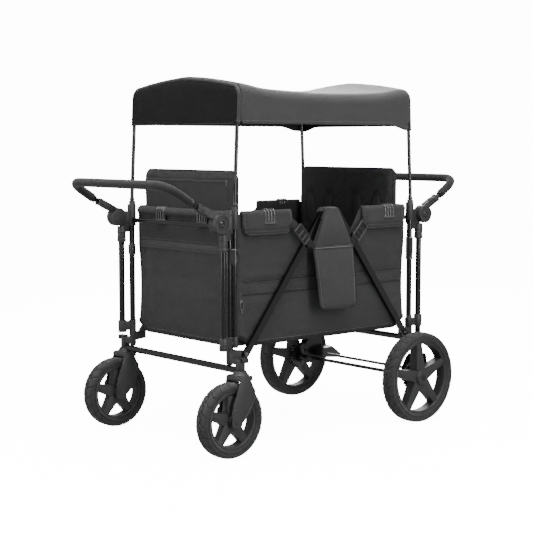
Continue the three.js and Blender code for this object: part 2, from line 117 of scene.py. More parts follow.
class StageLook(PropertyGroup):
    """Floor, lights and camera."""

    floor: FloatVectorProperty(name="Floor", description="Colour of the floor", subtype="COLOR", size=3,
                               min=0, max=1, default=(0.93, 0.93, 0.93))
    lens: FloatProperty(name="Lens", description="Focal length of the camera", subtype="DISTANCE_CAMERA",
                        default=88.07, min=10, max=300)
    key: FloatProperty(name="Key light", description="Power of the overhead light", unit="POWER",
                       default=290, min=0, max=5000)
    glow: FloatProperty(name="Backdrop", description="Brightness of the floor and backdrop", default=14.0,
                        min=0, max=20)
    sky: FloatProperty(name="Surround", description="Brightness of the white surround", default=0.75, min=0, max=5)


class WagonSettings(PropertyGroup):
    """Everything that the panel shows."""

    cloth: PointerProperty(type=ClothLook)
    frame: PointerProperty(type=FrameLook)
    wheel: PointerProperty(type=WheelShape)
    stage: PointerProperty(type=StageLook)


# ---------- shaders ----------

class Wave:
    """A shader number that Python arithmetic turns into Math nodes."""

    def __init__(self, surface, socket):
        self.surface, self.socket = surface, socket

    def maths(self, operation, *others):
        values = {i: o for i, o in enumerate((self, *others))}
        return self.surface.node("ShaderNodeMath", {"operation": operation}, values)

    def __add__(self, other):
        return self.maths("ADD", other)

    def __sub__(self, other):
        return self.maths("SUBTRACT", other)

    def __rsub__(self, other):
        return self.surface.node("ShaderNodeMath", {"operation": "SUBTRACT"}, {0: other, 1: self})

    def __mul__(self, other):
        return self.maths("MULTIPLY", other)

    __radd__ = __add__
    __rmul__ = __mul__

    def sine(self):
        return self.maths("SINE")

    def over(self, low, high):
        """0 below low, 1 above high, and smooth between them."""
        return self.surface.node("ShaderNodeMapRange", {"interpolation_type": "SMOOTHSTEP"},
                                 {"Value": self, "From Min": low, "From Max": high})


class Surface:
    """A material whose nodes are made by name."""

    def __init__(self, name):
        self.material = bpy.data.materials.new(name)
        self.material.use_nodes = True
        self.tree = self.material.node_tree
        self.shader = self.tree.nodes["Principled BSDF"]

    def node(self, kind, settings=None, values=None, output=0):
        made = self.tree.nodes.new(kind)
        for key, value in (settings or {}).items():
            setattr(made, key, value)
        for key, value in (values or {}).items():
            self.feed(made.inputs[key], value)
        return Wave(self, made.outputs[output])

    def feed(self, socket, value):
        if isinstance(value, Wave):
            self.tree.links.new(value.socket, socket)
        elif isinstance(value, (tuple, list)) and socket.type == "RGBA" and len(value) == 3:
            socket.default_value = (*value, 1)
        else:
            socket.default_value = value

    def place(self):
        """The point in the wagon's own frame, and its three parts."""
        point = self.node("ShaderNodeTexCoord", output=3)
        split = self.tree.nodes.new("ShaderNodeSeparateXYZ")
        self.feed(split.inputs[0], point)
        return point, [Wave(self, s) for s in split.outputs]

    def speckle(self, point, scale, detail=3.0):
        return self.node("ShaderNodeTexNoise", {"noise_dimensions": "3D"},
                         {"Vector": point, "Scale": scale, "Detail": detail, "Roughness": 0.6})

    def between(self, factor, a, b):
        """A colour between a and b."""
        return self.node("ShaderNodeMix", {"data_type": "RGBA"}, {0: factor, 6: a, 7: b}, output=2)

    def finish(self, bump=None, height=0.0003, strength=0.5, **sockets):
        for name, value in sockets.items():
            self.feed(self.shader.inputs[name.replace("_", " ").title().replace("Ior", "IOR")], value)
        if bump is not None:
            self.feed(self.shader.inputs["Normal"], self.node(
                "ShaderNodeBump", {}, {"Strength": strength, "Distance": height, "Height": bump}))
        return self.material


def shade(colour, amount):
    return tuple(min(1, c * amount) for c in colour)


def woven(name, colour, yarn, rough=0.86, sheen=0.06):
    """Plain weave with mixed light and dark yarns."""
    s = Surface(name)
    point, (x, y, z) = s.place()
    turn = 2 * math.pi / yarn
    warp = ((x + y) * turn).sine()
    weft = ((z + (x - y) * 0.72) * turn).sine()
    heather = s.speckle(point, 420, 2)
    tone = s.speckle(point, 5, 3)
    mixed = s.between(heather.over(0.35, 0.65), shade(colour, 0.74), shade(colour, 1.22))
    worn = s.between(tone.over(0.35, 0.7), mixed, s.between(heather, shade(colour, 0.95), shade(colour, 1.3)))
    return s.finish(bump=warp * weft * 0.5 + heather * 0.6, height=0.00045, strength=0.55, base_color=worn,
                    roughness=tone * 0.12 + (rough - 0.06), sheen_weight=sheen, sheen_roughness=0.45,
                    specular_ior_level=0.18)


def webbed(name, colour):
    """Ribbed strap webbing and binding tape."""
    s = Surface(name)
    point, (x, y, z) = s.place()
    rib = ((x + y + z) * (2 * math.pi / 0.0022)).sine()
    fine = s.speckle(point, 500, 2)
    base = s.between(rib.over(-0.6, 0.9), shade(colour, 0.7), shade(colour, 1.35))
    return s.finish(bump=rib * 0.5 + fine * 0.4, height=0.0005, strength=0.6, base_color=base,
                    roughness=fine * 0.15 + 0.68, sheen_weight=0.05, sheen_roughness=0.4, specular_ior_level=0.2)


def powder_coat(name, colour):
    """Satin powder coat with a faint orange peel."""
    s = Surface(name)
    point, _ = s.place()
    peel, patch = s.speckle(point, 700, 2), s.speckle(point, 14, 4)
    base = s.between(patch.over(0.3, 0.75), shade(colour, 0.86), shade(colour, 1.2))
    return s.finish(bump=peel, height=0.00003, strength=0.2, base_color=base,
                    roughness=patch * 0.06 + 0.14, coat_weight=0.15, coat_roughness=0.10, specular_ior_level=0.28)


def moulded(name, colour, rough=0.5, grain=0.00015, shine=0.3):
    """Injection-moulded plastic with a fine spark-eroded grain."""
    s = Surface(name)
    point, _ = s.place()
    grit, patch = s.speckle(point, 1500, 2), s.speckle(point, 20, 4)
    base = s.between(patch.over(0.3, 0.7), shade(colour, 0.88), shade(colour, 1.16))
    return s.finish(bump=grit, height=grain, strength=0.4, base_color=base, roughness=patch * 0.14 + (rough - 0.07),
                    specular_ior_level=shine)


def rubbery(name, colour, rough=0.86, cell=900):
    """Matt rubber or foam, a little dusty."""
    s = Surface(name)
    point, _ = s.place()
    pores = s.node("ShaderNodeTexVoronoi", {"feature": "F1"}, {"Vector": point, "Scale": cell})
    dust = s.speckle(point, 24, 5)
    base = s.between(dust.over(0.4, 0.75), shade(colour, 0.86), shade(colour, 1.32))
    return s.finish(bump=pores, height=0.0002, strength=0.5, base_color=base,
                    roughness=dust * 0.12 + (rough - 0.06), sheen_weight=0.10,
                    specular_ior_level=0.2)


def bright_steel(name, colour=(0.55, 0.55, 0.56)):
    """Zinc-plated steel of the bolt heads and zip pulls."""
    s = Surface(name)
    point, (x, y, z) = s.place()
    brushed = s.node("ShaderNodeTexNoise", {}, {"Vector": point, "Scale": 600, "Detail": 4})
    return s.finish(bump=brushed, height=0.00005, strength=0.4, base_color=s.between(brushed, shade(colour, 0.7), colour),
                    roughness=brushed * 0.2 + 0.22, metallic=1.0)


LOOKS = {}


def look(name):
    """The wagon's own finishes, made when first asked for."""
    if name not in LOOKS:
        cloth, frame = bpy.context.scene.wagon.cloth, bpy.context.scene.wagon.frame
        makers = {
            "body_cloth": lambda: woven(name, tuple(cloth.colour), cloth.yarn),
            "canopy_cloth": lambda: woven(name, shade(tuple(cloth.colour), 0.95), cloth.yarn * 0.8, 0.46, 0.12),
            "tape_cloth": lambda: woven(name, shade(tuple(cloth.colour), 1.5), cloth.yarn),
            "valance_cloth": lambda: woven(name, shade(tuple(cloth.colour), 0.06), cloth.yarn * 0.8, 0.90, 0.01),
            "padding_cloth": lambda: woven(name, tuple(cloth.padding), cloth.yarn * 0.9, 0.84, 0.05),
            "binding": lambda: webbed(name, tuple(cloth.webbing)),
            "thread": lambda: webbed(name, shade(tuple(cloth.colour), 5.0)),
            "tube_paint": lambda: powder_coat(name, tuple(frame.paint)),
            "moulding": lambda: moulded(name, tuple(frame.moulding)),
            # clip ribs and bar: the black moulding made seven times lighter, a painted highlight on black plastic
            "clip_rib_painted_highlight": lambda: moulded(name, shade(tuple(frame.black), 7), 0.22, 0.0001, 0.7),
            "black_moulding": lambda: moulded(name, tuple(frame.black), 0.24, 0.0001, 0.6),
            "tyre_rubber": lambda: rubbery(name, tuple(frame.rubber)),
            "grip_foam": lambda: rubbery(name, tuple(frame.foam), 0.8, 1600),
            "steel": lambda: bright_steel(name),
            "dark_steel": lambda: bright_steel(name, (0.16, 0.16, 0.165)),
        }
        LOOKS[name] = makers[name]()
    return LOOKS[name]


# ---------- shapes ----------

class Shape:
    """Corner points and faces gathered before they become one mesh."""

    def __init__(self):
        self.points, self.faces = [], []

    def add(self, points, faces):
        start = len(self.points)
        self.points += [tuple(p) for p in points]
        self.faces += [tuple(i + start for i in f) for f in faces]
        return self

    def join(self, *others):
        for other in others:
            self.add(other.points, other.faces)
        return self

    def grid(self, rows, around=False, closed=False, caps=False):
        """Quads over rows of equal length. around joins each row's ends, closed joins the last row to the first."""
        n, m = len(rows[0]), len(rows)
        faces = []
        for r in range(m if closed else m - 1):
            for c in range(n if around else n - 1):
                a, b = r * n + c, r * n + (c + 1) % n
                d, e = ((r + 1) % m) * n + (c + 1) % n, ((r + 1) % m) * n + c
                faces.append((a, b, d, e))
        if caps:
            faces += [tuple(reversed(range(n))), tuple(range((m - 1) * n, m * n))]
        return self.add([p for row in rows for p in row], faces)

    def moved(self, change):
        made = Shape()
        return made.add([change(Vector(p)) for p in self.points], self.faces)

    def mirrored(self, end, side):
        sx, sy = SIGN[end], SIGN[side]
        return self.moved(lambda p: (p.x * sx, p.y * sy, p.z))


def smooth_path(points, radii, step=0.006):
    """Straight runs with rounded corners, as closely spaced points."""
    at = [Vector(p) for p in points]
    out = [at[0]]
    for i in range(1, len(at) - 1):
        r = radii[i - 1] if hasattr(radii, "__len__") else radii
        a = at[i] + (at[i - 1] - at[i]).normalized() * r
        b = at[i] + (at[i + 1] - at[i]).normalized() * r
        count = max(3, int(r * 1.6 / step))
        out += [a * (1 - t) ** 2 + at[i] * 2 * t * (1 - t) + b * t * t for t in [k / count for k in range(count + 1)]]
    out.append(at[-1])
    return out


def frames_along(path):
    """A pair of directions square to the path at each point, turned as little as possible from one to the next."""
    path = [Vector(p) for p in path]
    tangents = [(path[min(i + 1, len(path) - 1)] - path[max(i - 1, 0)]).normalized() for i in range(len(path))]
    side = tangents[0].orthogonal().normalized()
    out = []
    for t in tangents:
        side = (side - t * side.dot(t)).normalized()
        out.append((side, t.cross(side)))
    return path, out


def tube(path, radius, sides=20, lip=0.001):
    """A round bar along a path, with slightly rounded ends."""
    path, frames = frames_along(path)
    first, last = (path[1] - path[0]).normalized(), (path[-1] - path[-2]).normalized()
    radii = [radius] * len(path)
    path = [path[0], path[0] + first * lip, *path[1:-1], path[-1] - last * lip, path[-1]]
    radii = [radius - lip, radius, *radii[1:-1], radius, radius - lip]
    frames = [frames[0], *frames, frames[-1]]
    rows = []
    for p, r, (a, b) in zip(path, radii, frames):
        rows.append([p + (a * math.cos(t) + b * math.sin(t)) * r
                     for t in [2 * math.pi * k / sides for k in range(sides)]])
    return Shape().grid(rows, around=True, caps=True)


def strap(path, outward, width, thick=0.0016):
    """Flat webbing along a path; outward is the way its face looks, one direction or one for each point."""
    path = [Vector(p) for p in path]
    rows = []
    for i, p in enumerate(path):
        t = (path[min(i + 1, len(path) - 1)] - path[max(i - 1, 0)]).normalized()
        out = Vector(outward[i] if hasattr(outward[0], "__len__") else outward)
        out = (out - t * out.dot(t)).normalized()
        side = t.cross(out) * width / 2
        rim = out * thick / 2
        rows.append([p - side - rim * 0.4, p - side + rim * 0.4, p - side * 0.94 + rim, p + side * 0.94 + rim,
                     p + side + rim * 0.4, p + side - rim * 0.4, p + side * 0.94 - rim, p - side * 0.94 - rim])
    return Shape().grid(rows, around=True, caps=True)


def turned(profile, centre, segments=48, axis="Y"):
    """A profile of (radius, distance along the axis) turned about the axis through centre."""
    rows = []
    cx, cy, cz = centre
    for k in range(segments):
        t = 2 * math.pi * k / segments
        u, v = math.cos(t), math.sin(t)
        place = {"Y": lambda r, a: (cx + r * u, cy + a, cz + r * v), "Z": lambda r, a: (cx + r * u, cy + r * v, cz + a),
                 "X": lambda r, a: (cx + a, cy + r * u, cz + r * v)}[axis]
        rows.append([place(r, a) for r, a in profile])
    return Shape().grid(rows, around=True, closed=True)


def disc(radius, centre, low, high, axis="Y", edge=0.001, segments=32):
    """A short round part with softened edges."""
    ring = [(radius - edge, low), (radius, low + edge), (radius, high - edge), (radius - edge, high)]
    rows = []
    cx, cy, cz = centre
    for r, a in ring:
        row = []
        for k in range(segments):
            t = 2 * math.pi * k / segments
            u, v = r * math.cos(t), r * math.sin(t)
            row.append({"Y": (cx + u, cy + a, cz + v), "Z": (cx + u, cy + v, cz + a), "X": (cx + a, cy + u, cz + v)}[axis])
        rows.append(row)
    return Shape().grid(rows, around=True, caps=True)


def rounded(a0, a1, b0, b1, r, steps=5):
    """Outline of a rounded rectangle."""
    out = []
    for ca, cb, start in ((a1 - r, b0 + r, -90), (a1 - r, b1 - r, 0), (a0 + r, b1 - r, 90), (a0 + r, b0 + r, 180)):
        for k in range(steps + 1):
            t = math.radians(start + 90 * k / steps)
            out.append((ca + r * math.cos(t), cb + r * math.sin(t)))
    return out


def slab(outline, low, high, axis="Y", edge=0.0012):
    """A flat plate with softened edges: outline in the two other axes, low to high along axis."""
    n = len(outline)
    area = sum(outline[i][0] * outline[(i + 1) % n][1] - outline[(i + 1) % n][0] * outline[i][1] for i in range(n))
    inner = []
    for i in range(n):
        p, q, r = (Vector((*outline[j % n], 0)) for j in (i - 1, i, i + 1))
        a, b = (q - p).normalized(), (r - q).normalized()
        normal = Vector((-(a + b).y, (a + b).x, 0))
        normal = normal.normalized() if normal.length > 1e-9 else Vector((0, 0, 0))
        inner.append((q + normal * edge * (1 if area > 0 else -1)).to_2d())
    put = {"Y": lambda a, b, c: (a, c, b), "X": lambda a, b, c: (c, a, b), "Z": lambda a, b, c: (a, b, c)}[axis]
    rows = [[put(*p, c) for p in ring] for ring, c in
            ((inner, low), (outline, low + edge), (outline, high - edge), (inner, high))]
    return Shape().grid(rows, around=True, caps=True)


def block(x0, x1, y0, y1, z0, z1, edge=0.0015):
    return slab(rounded(x0, x1, z0, z1, min(edge * 2, (x1 - x0) / 3, (z1 - z0) / 3), 2), y0, y1, "Y", edge)


def stitches(path, outward, length=0.0042, gap=0.0022, thick=0.0007):
    """A row of thread stitches that follows a path."""
    path = [Vector(p) for p in path]
    made, travelled, start = Shape(), 0.0, 0.0
    lift = Vector(outward) * thick * 0.6
    for a, b in zip(path, path[1:]):
        run = (b - a).length
        if run < 1e-9:
            continue
        t = (b - a) / run
        side = t.cross(Vector(outward)).normalized() * thick
        while start < travelled + run:
            p = a + t * (start - travelled)
            q = p + t * length
            mid = (p + q) / 2 + lift
            made.add([p - side, p + side, q + side, q - side, mid - side * 0.7 + lift, mid + side * 0.7 + lift],
                     [(0, 1, 5, 4), (2, 3, 4, 5), (0, 4, 3), (1, 2, 5), (0, 3, 2, 1)])
            start += length + gap
        travelled += run
    return made


def piece(name, shape, finish, body, stands_for=(), sharp=38, folds=False, bevel=0, fine=0):
    """Makes one object of a shape and fastens it to a body of the frame."""
    mesh = bpy.data.meshes.new(name)
    mesh.from_pydata(shape.points, [], shape.faces)
    obj = bpy.data.objects.new(name, mesh)
    bpy.context.scene.collection.objects.link(obj)
    return dress(obj, finish, body, stands_for, sharp, folds, bevel, fine)


def dress(obj, finish, body, stands_for=(), sharp=38, folds=False, bevel=0, fine=0):
    """Shading, finish and place in the frame of an object's mesh."""
    mesh = obj.data
    bm = bmesh.new()
    bm.from_mesh(mesh)
    bmesh.ops.remove_doubles(bm, verts=bm.verts, dist=1e-6)
    bmesh.ops.recalc_face_normals(bm, faces=bm.faces)
    for f in bm.faces:
        f.smooth = True
    for e in bm.edges:
        e.smooth = len(e.link_faces) != 2 or e.calc_face_angle(0) < math.radians(sharp)
    bm.to_mesh(mesh)
    bm.free()
    mesh.materials.clear()
    mesh.materials.append(look(finish))
    if bevel:
        rim = obj.modifiers.new("softened edges", "BEVEL")
        rim.width, rim.segments, rim.limit_method, rim.angle_limit = bevel, 2, "ANGLE", math.radians(32)
        rim.harden_normals = False
    if fine:
        finer = obj.modifiers.new("finer", "SUBSURF")
        finer.levels = finer.render_levels = fine
    if bevel or fine:
        settle(obj)
    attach(obj, body)
    if stands_for:
        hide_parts(*([stands_for] if isinstance(stands_for, str) else stands_for))
    if folds:
        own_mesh(obj)
    return obj


def settle(obj):
    """Applies every modifier, so that the mesh itself is what is seen."""
    graph = bpy.context.evaluated_depsgraph_get()
    made = bpy.data.meshes.new_from_object(obj.evaluated_get(graph))
    obj.modifiers.clear()
    old, obj.data = obj.data, made
    bpy.data.meshes.remove(old)


def softened(node, finish, body, bevel=0.0012, extra=None, name=None, sharp=30):
    """A piece with the shape of a CAD node, its edges rounded off and any extra detail added."""
    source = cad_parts[node].data
    shape = Shape().add([v.co.copy() for v in source.vertices], [tuple(p.vertices) for p in source.polygons])
    mesh = bpy.data.meshes.new(name or node + "_finished")
    mesh.from_pydata(shape.points, [], shape.faces)
    bm = bmesh.new()
    bm.from_mesh(mesh)
    bmesh.ops.remove_doubles(bm, verts=bm.verts, dist=2e-5)
    bmesh.ops.dissolve_limit(bm, angle_limit=math.radians(2), verts=bm.verts, edges=bm.edges)
    bm.to_mesh(mesh)
    bm.free()
    obj = bpy.data.objects.new(mesh.name, mesh)
    bpy.context.scene.collection.objects.link(obj)
    if extra is not None:
        bevelled = obj.modifiers.new("softened edges", "BEVEL")
        bevelled.width, bevelled.segments = bevel, 2
        bevelled.limit_method, bevelled.angle_limit = "ANGLE", math.radians(32)
        settle(obj)
        whole = Shape().add([v.co.copy() for v in obj.data.vertices], [tuple(p.vertices) for p in obj.data.polygons])
        whole.join(extra)
        obj.data.clear_geometry()
        obj.data.from_pydata(whole.points, [], whole.faces)
        return dress(obj, finish, body, node, sharp)
    return dress(obj, finish, body, node, sharp, bevel=bevel)


# ---------- tubes ----------

def middle(node):
    low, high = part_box(node)
    return (low + high) / 2


def upright(node, sides=24):
    """A smooth tube with the place and size of an upright CAD bar."""
    low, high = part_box(node)
    c = (low + high) / 2
    return tube([(c.x, c.y, low.z), (c.x, c.y, (low.z + high.z) / 2), (c.x, c.y, high.z)], (high.x - low.x) / 2, sides)


def crossways(node, sides=24):
    low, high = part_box(node)
    c = (low + high) / 2
    return tube([(c.x, low.y, c.z), (c.x, c.y, c.z), (c.x, high.y, c.z)], (high.z - low.z) / 2, sides)


def bolt_head(point, outward, radius=0.0055, high=0.0035):
    """A domed hexagon bolt head with its washer."""
    axis = "X" if abs(outward[0]) > 0.5 else "Y" if abs(outward[1]) > 0.5 else "Z"
    sign = sum(outward)
    washer = disc(radius * 1.35, point, *sorted((0, sign * 0.0012)), axis=axis, edge=0.0003, segments=20)
    head = disc(radius, point, *sorted((0, sign * high)), axis=axis, edge=0.0008, segments=6)
    return washer.join(head)


class WAGON_OT_tubes(Operator):
    """Posts, stays, legs, links, cross bars and the axle"""

    bl_idname = "wagon.tubes"
    bl_label = "Frame tubes"

    def execute(self, context):
        for end, side in CORNERS:
            corner, body = f"{end}_{side}", f"{end}_frame"
            piece(f"{corner}_post_tube", upright(f"{corner}_post"), "tube_paint", body, f"{corner}_post")
            if end == "front":
                piece(f"{corner}_stay_tube", upright(f"{corner}_handle_stay"), "tube_paint", body,
                      f"{corner}_handle_stay")
            else:
                softened(f"{corner}_wheel_leg", "tube_paint", body, 0.0022, sharp=40)
            out = SIGN[side]
            foot = Vector((SIGN[end] * 0.342, out * 0.2747, 0.295))
            softened(f"{corner}_link", "tube_paint", f"{end}_links", 0.0028)
            piece(f"{corner}_link_bolt", bolt_head(foot, (0, out, 0)), "dark_steel", body)
        for end in ("front", "rear"):
            body = f"{end}_frame"
            softened(f"{end}_lower_bar", "tube_paint", body, 0.0018)
            piece(f"{end}_rim_tube", crossways(f"{end}_rim_bar"), "tube_paint", body, f"{end}_rim_bar")
        axle = crossways("rear_axle", 20)
        for out in (-1, 1):
            axle.join(disc(0.0095, (middle("rear_axle").x, out * 0.3318, middle("rear_axle").z),
                           *sorted((0, out * 0.0015)), edge=0.0004))
        piece("axle_rod", axle, "tube_paint", "rear_frame", "rear_axle")
        return {"FINISHED"}


# ---------- mouldings ----------

def on_arm(d, y, across=0.0):
    """The place d along a handle arm's centre line and across above it, in the quadrant."""
    run, rise = math.cos(ARM_TILT), math.sin(ARM_TILT)
    up = ARM_LIFT + across
    return (HUB[0] + d * run - up * rise, y, HUB[2] + d * rise + up * run)


def hub_rings(out):
    """Raised rim and inner ring on the outer face of a handle hub, drawn for the quadrant."""
    ring = turned([(0.0235, 0.2750), (0.0235, 0.2768), (0.0275, 0.2772), (0.0282, 0.2750)], HUB, 40)
    inner = turned([(0.0102, 0.2750), (0.0102, 0.2774), (0.0128, 0.2774), (0.0136, 0.2750)], HUB, 32)
    return ring.join(inner).mirrored(*out)


def socket_ribs(out):
    """Sliding catch and grip ribs near the end of a handle's socket."""
    made, half = Shape(), 0.0112
    for d, wide in ((0.050, 0.003), (0.058, 0.003), (0.066, 0.003), (0.086, 0.006)):
        made.join(block(d - wide / 2, d + wide / 2, ARM_Y - half, ARM_Y + half, -half, half, 0.0008))
    made.join(block(0.070, 0.080, ARM_Y + 0.009, ARM_Y + 0.0135, -0.005, 0.005, 0.001))
    return made.moved(lambda p: on_arm(p.x, p.y, p.z)).mirrored(*out)


class WAGON_OT_mouldings(Operator):
    """Brackets, handle arms with their hubs, buttons and pole clips"""

    bl_idname = "wagon.mouldings"
    bl_label = "Mouldings"

    def execute(self, context):
        for end, side in CORNERS:
            corner, body, at = f"{end}_{side}", f"{end}_frame", (end, side)
            top = Shape()
            top.join(disc(0.0045, (0.385, 0, 0.712), 0.2612, 0.2632, "Y", 0.0006, 20))
            top.join(turned([(0.0137, 0), (0.0148, 0.001), (0.0148, 0.006), (0.0137, 0.007)], (0.4175, 0.259, 0.6065),
                            32, "Z"))
            top.join(turned([(0.0137, 0), (0.0146, 0.001), (0.0146, 0.004), (0.0137, 0.005)], (0.4175, 0.259, 0.634),
                            32, "Z"))
            softened(f"{corner}_top_bracket", "moulding", body, 0.0013, top.mirrored(*at))
            low = Shape().join(disc(0.0042, (0.4175, 0, 0.331), 0.2725, 0.2748, "Y", 0.0006, 20))
            low.join(disc(0.0042, (0.385, 0, 0.331), 0.2612, 0.2634, "Y", 0.0006, 20))
            softened(f"{corner}_lower_bracket", "moulding", body, 0.0011, low.mirrored(*at))
            arm = hub_rings(at).join(socket_ribs(at))
            softened(f"{corner}_handle_arm", "moulding", f"{end}_handle", 0.0014, arm)
            button = disc(0.0088, HUB, 0.2695, 0.2775, "Y", 0.0014)
            button.join(turned([(0.0040, 0.2773), (0.0046, 0.2779), (0.0060, 0.2779), (0.0066, 0.2773)],
                               HUB, 28))
            piece(f"{corner}_button", button.mirrored(*at), "black_moulding", f"{end}_{side}_button",
                  f"{corner}_hub_button")
            self.pole_clip(end, side)
        return {"FINISHED"}

    def pole_clip(self, end, side):
        """The clip that ties the canopy pole to the post, with its small latch."""
        low, high = {("front", "left"): (0.566, 0.610), ("rear", "left"): (0.535, 0.610),
                     ("front", "right"): (0.562, 0.596), ("rear", "right"): (0.562, 0.596)}[(end, side)]
        outline = []
        for k in range(24):
            t = 2 * math.pi * k / 24
            c, r = ((0.385, 0.248), 0.0118) if math.cos(t + 0.85) > 0 else ((0.3745, 0.260), 0.0088)
            outline.append((c[0] + r * math.cos(t), c[1] + r * math.sin(t)))
        clip = slab(outline, low, high, "Z", 0.0012)
        clip.join(block(0.366, 0.3765, 0.2685, 0.2715, low + 0.012, high - 0.004, 0.0008))
        clip.join(tube([(0.371, 0.2725, low + 0.020), (0.371, 0.2765, low + 0.022), (0.371, 0.2765, high - 0.002)],
                       0.0011, 10, 0.0004))
        piece(f"{end}_{side}_pole_clip", clip.mirrored(end, side), "black_moulding", f"{end}_frame")


class WAGON_OT_handles(Operator):
    """Foam-covered U-shaped grips"""

    bl_idname = "wagon.handles"
    bl_label = "Handle grips"

    def execute(self, context):
        route = [on_arm(0.1135, -0.252), (0.614, -0.250, 0.800), (0.614, 0.250, 0.800), on_arm(0.1135, 0.252)]
        path = smooth_path(route, 0.060, 0.004)
        foam = tube(path, 0.0134, 28, 0.0022)
        for end in ("front", "rear"):
            piece(f"{end}_grip_sleeve", foam.mirrored(end, "right"), "grip_foam", f"{end}_handle", f"{end}_handle_grip")
            bare = Shape()
            for y in (-ARM_Y, ARM_Y):
                bare.join(tube([on_arm(0.062, y), on_arm(0.09, y), on_arm(0.118, y)], 0.0078, 20))
                bare.join(tube([on_arm(0.104, y), on_arm(0.108, y), on_arm(0.1145, y)], 0.0112, 24, 0.0012))
            piece(f"{end}_grip_tube", bare.mirrored(end, "right"), "tube_paint", f"{end}_handle")
        return {"FINISHED"}


# ---------- wheels ----------

def saw(t):
    """Triangle wave between -1 and 1 with period 1."""
    return 4 * abs(t - math.floor(t + 0.5)) - 1


def treaded_tyre(centre, radius, opening, width, lugs, depth):
    """Rounded tyre with a zig-zag groove and side grooves cut between its blocks."""
    half, bead = width / 2, opening + 0.0068
    wall = [(bead, half - 0.005), (bead + 0.004, half - 0.0016), (bead + 0.008, half - 0.0003),
            (bead + 0.009, half - 0.0016), (bead + 0.0105, half - 0.0016), (bead + 0.0115, half - 0.0002),
            (radius - 0.0175, half), (radius - 0.0165, half - 0.0013), (radius - 0.0150, half - 0.0013)]
    crown, count = [], 36
    for k in range(count + 1):
        t = math.pi * k / count
        reach = abs(math.cos(t)) ** 0.62
        crown.append((radius - 0.0135 + 0.0135 * abs(math.sin(t)) ** 0.62, -half * math.copysign(reach, math.cos(t))))
    section = [(r, -a) for r, a in wall] + crown + list(reversed(wall))
    steps = lugs * 18
    rows = []
    cx, cy, cz = centre
    for s in range(steps):
        turn = s / steps
        t = 2 * math.pi * turn
        row = []
        for r, a in section:
            drop = 0.0
            if r > radius - 0.0135:
                zig = 0.20 * half * saw(turn * lugs)
                across = abs(a - zig) / half
                groove = min(1.0, 1.5 * max(0.0, 1 - (abs(a - zig) / 0.0030) ** 2))
                arc = saw(turn * lugs + 0.5 * math.copysign(1, a) * (across - 0.1) + (0.25 if a > 0 else 0.75))
                side = max(0.0, 1 - ((1 - abs(arc)) / 0.26) ** 2) if arc > 0 and across > 0.1 else 0.0
                side = min(1.0, 1.5 * side)
                drop = depth * max(groove, side * 0.9)
            row.append((cx + (r - drop) * math.cos(t), cy + a, cz + (r - drop) * math.sin(t)))
        rows.append(row)
    return Shape().grid(rows, around=True, closed=True)


def star_rim(centre, opening, width, hub, inboard, outboard, deep, dome=0.003, turn=0.3):
    """Rim with five tapered spokes, each ridged down the middle of both faces, and a ringed hub."""
    half = width / 2 - 0.006
    made = turned([(opening, -half + 0.001), (opening + 0.001, -half), (opening + 0.0045, -half - 0.001),
                   (opening + 0.006, -half), (opening + 0.006, half), (opening + 0.0045, half + 0.001),
                   (opening + 0.001, half), (opening, half - 0.001), (opening - 0.0014, half - 0.004),
                   (opening - 0.0014, -half + 0.004)], (0, 0, 0), 72)
    made.join(disc(hub, (0, 0, 0), inboard, outboard, "Y", 0.0016, 40))
    for face, way in ((outboard, 1), (inboard, -1)):
        made.join(turned([(hub * 0.52, face), (hub * 0.55, face + way * dome * 0.6), (hub * 0.74, face + way * dome * 0.6),
                          (hub * 0.78, face)], (0, 0, 0), 36))
    for k in range(5):
        a = turn + 2 * math.pi * k / 5
        spoke = Shape()
        rows = []
        for f in (0.0, 0.25, 0.5, 0.75, 0.9, 1.0):
            r = hub - 0.006 + (opening + 0.0015 - hub + 0.006) * f
            w = 0.0205 - 0.0095 * f ** 0.8 + 0.006 * max(0, f - 0.75)
            edge, ridge = deep + 0.0020 * (1 - f), deep + 0.0020 * (1 - f) + 0.0030
            rows.append([(r, -edge, -w), (r, edge, -w), (r, ridge, -0.0012), (r, ridge, 0.0012), (r, edge, w),
                         (r, -edge, w), (r, -ridge, 0.0012), (r, -ridge, -0.0012)])
        spoke.grid(rows, around=True, caps=True)
        made.join(spoke.moved(lambda p: (p.x * math.cos(a) - p.z * math.sin(a), p.y,
                                         p.x * math.sin(a) + p.z * math.cos(a))))
    cx, cy, cz = centre
    return made.moved(lambda p: (p.x + cx, p.y + cy, p.z + cz))


def brake_ring(centre):
    """Toothed drum on the inner face of a rear wheel."""
    teeth, rows = 22, []
    for a, scale in ((-0.0325, 1.0), (-0.0245, 1.0)):
        ring = []
        for k in range(teeth * 4):
            t = 2 * math.pi * k / (teeth * 4)
            r = (0.0425 if k % 4 in (0, 1) else 0.0365) * scale
            ring.append((r * math.cos(t), a, r * math.sin(t)))
        rows.append(ring)
    made = Shape().grid(rows, around=True, caps=True)
    made.join(disc(0.034, (0, 0, 0), -0.0245, -0.0150, "Y", 0.001, 36))
    cx, cy, cz = centre
    return made.moved(lambda p: (p.x + cx, p.y + cy, p.z + cz))


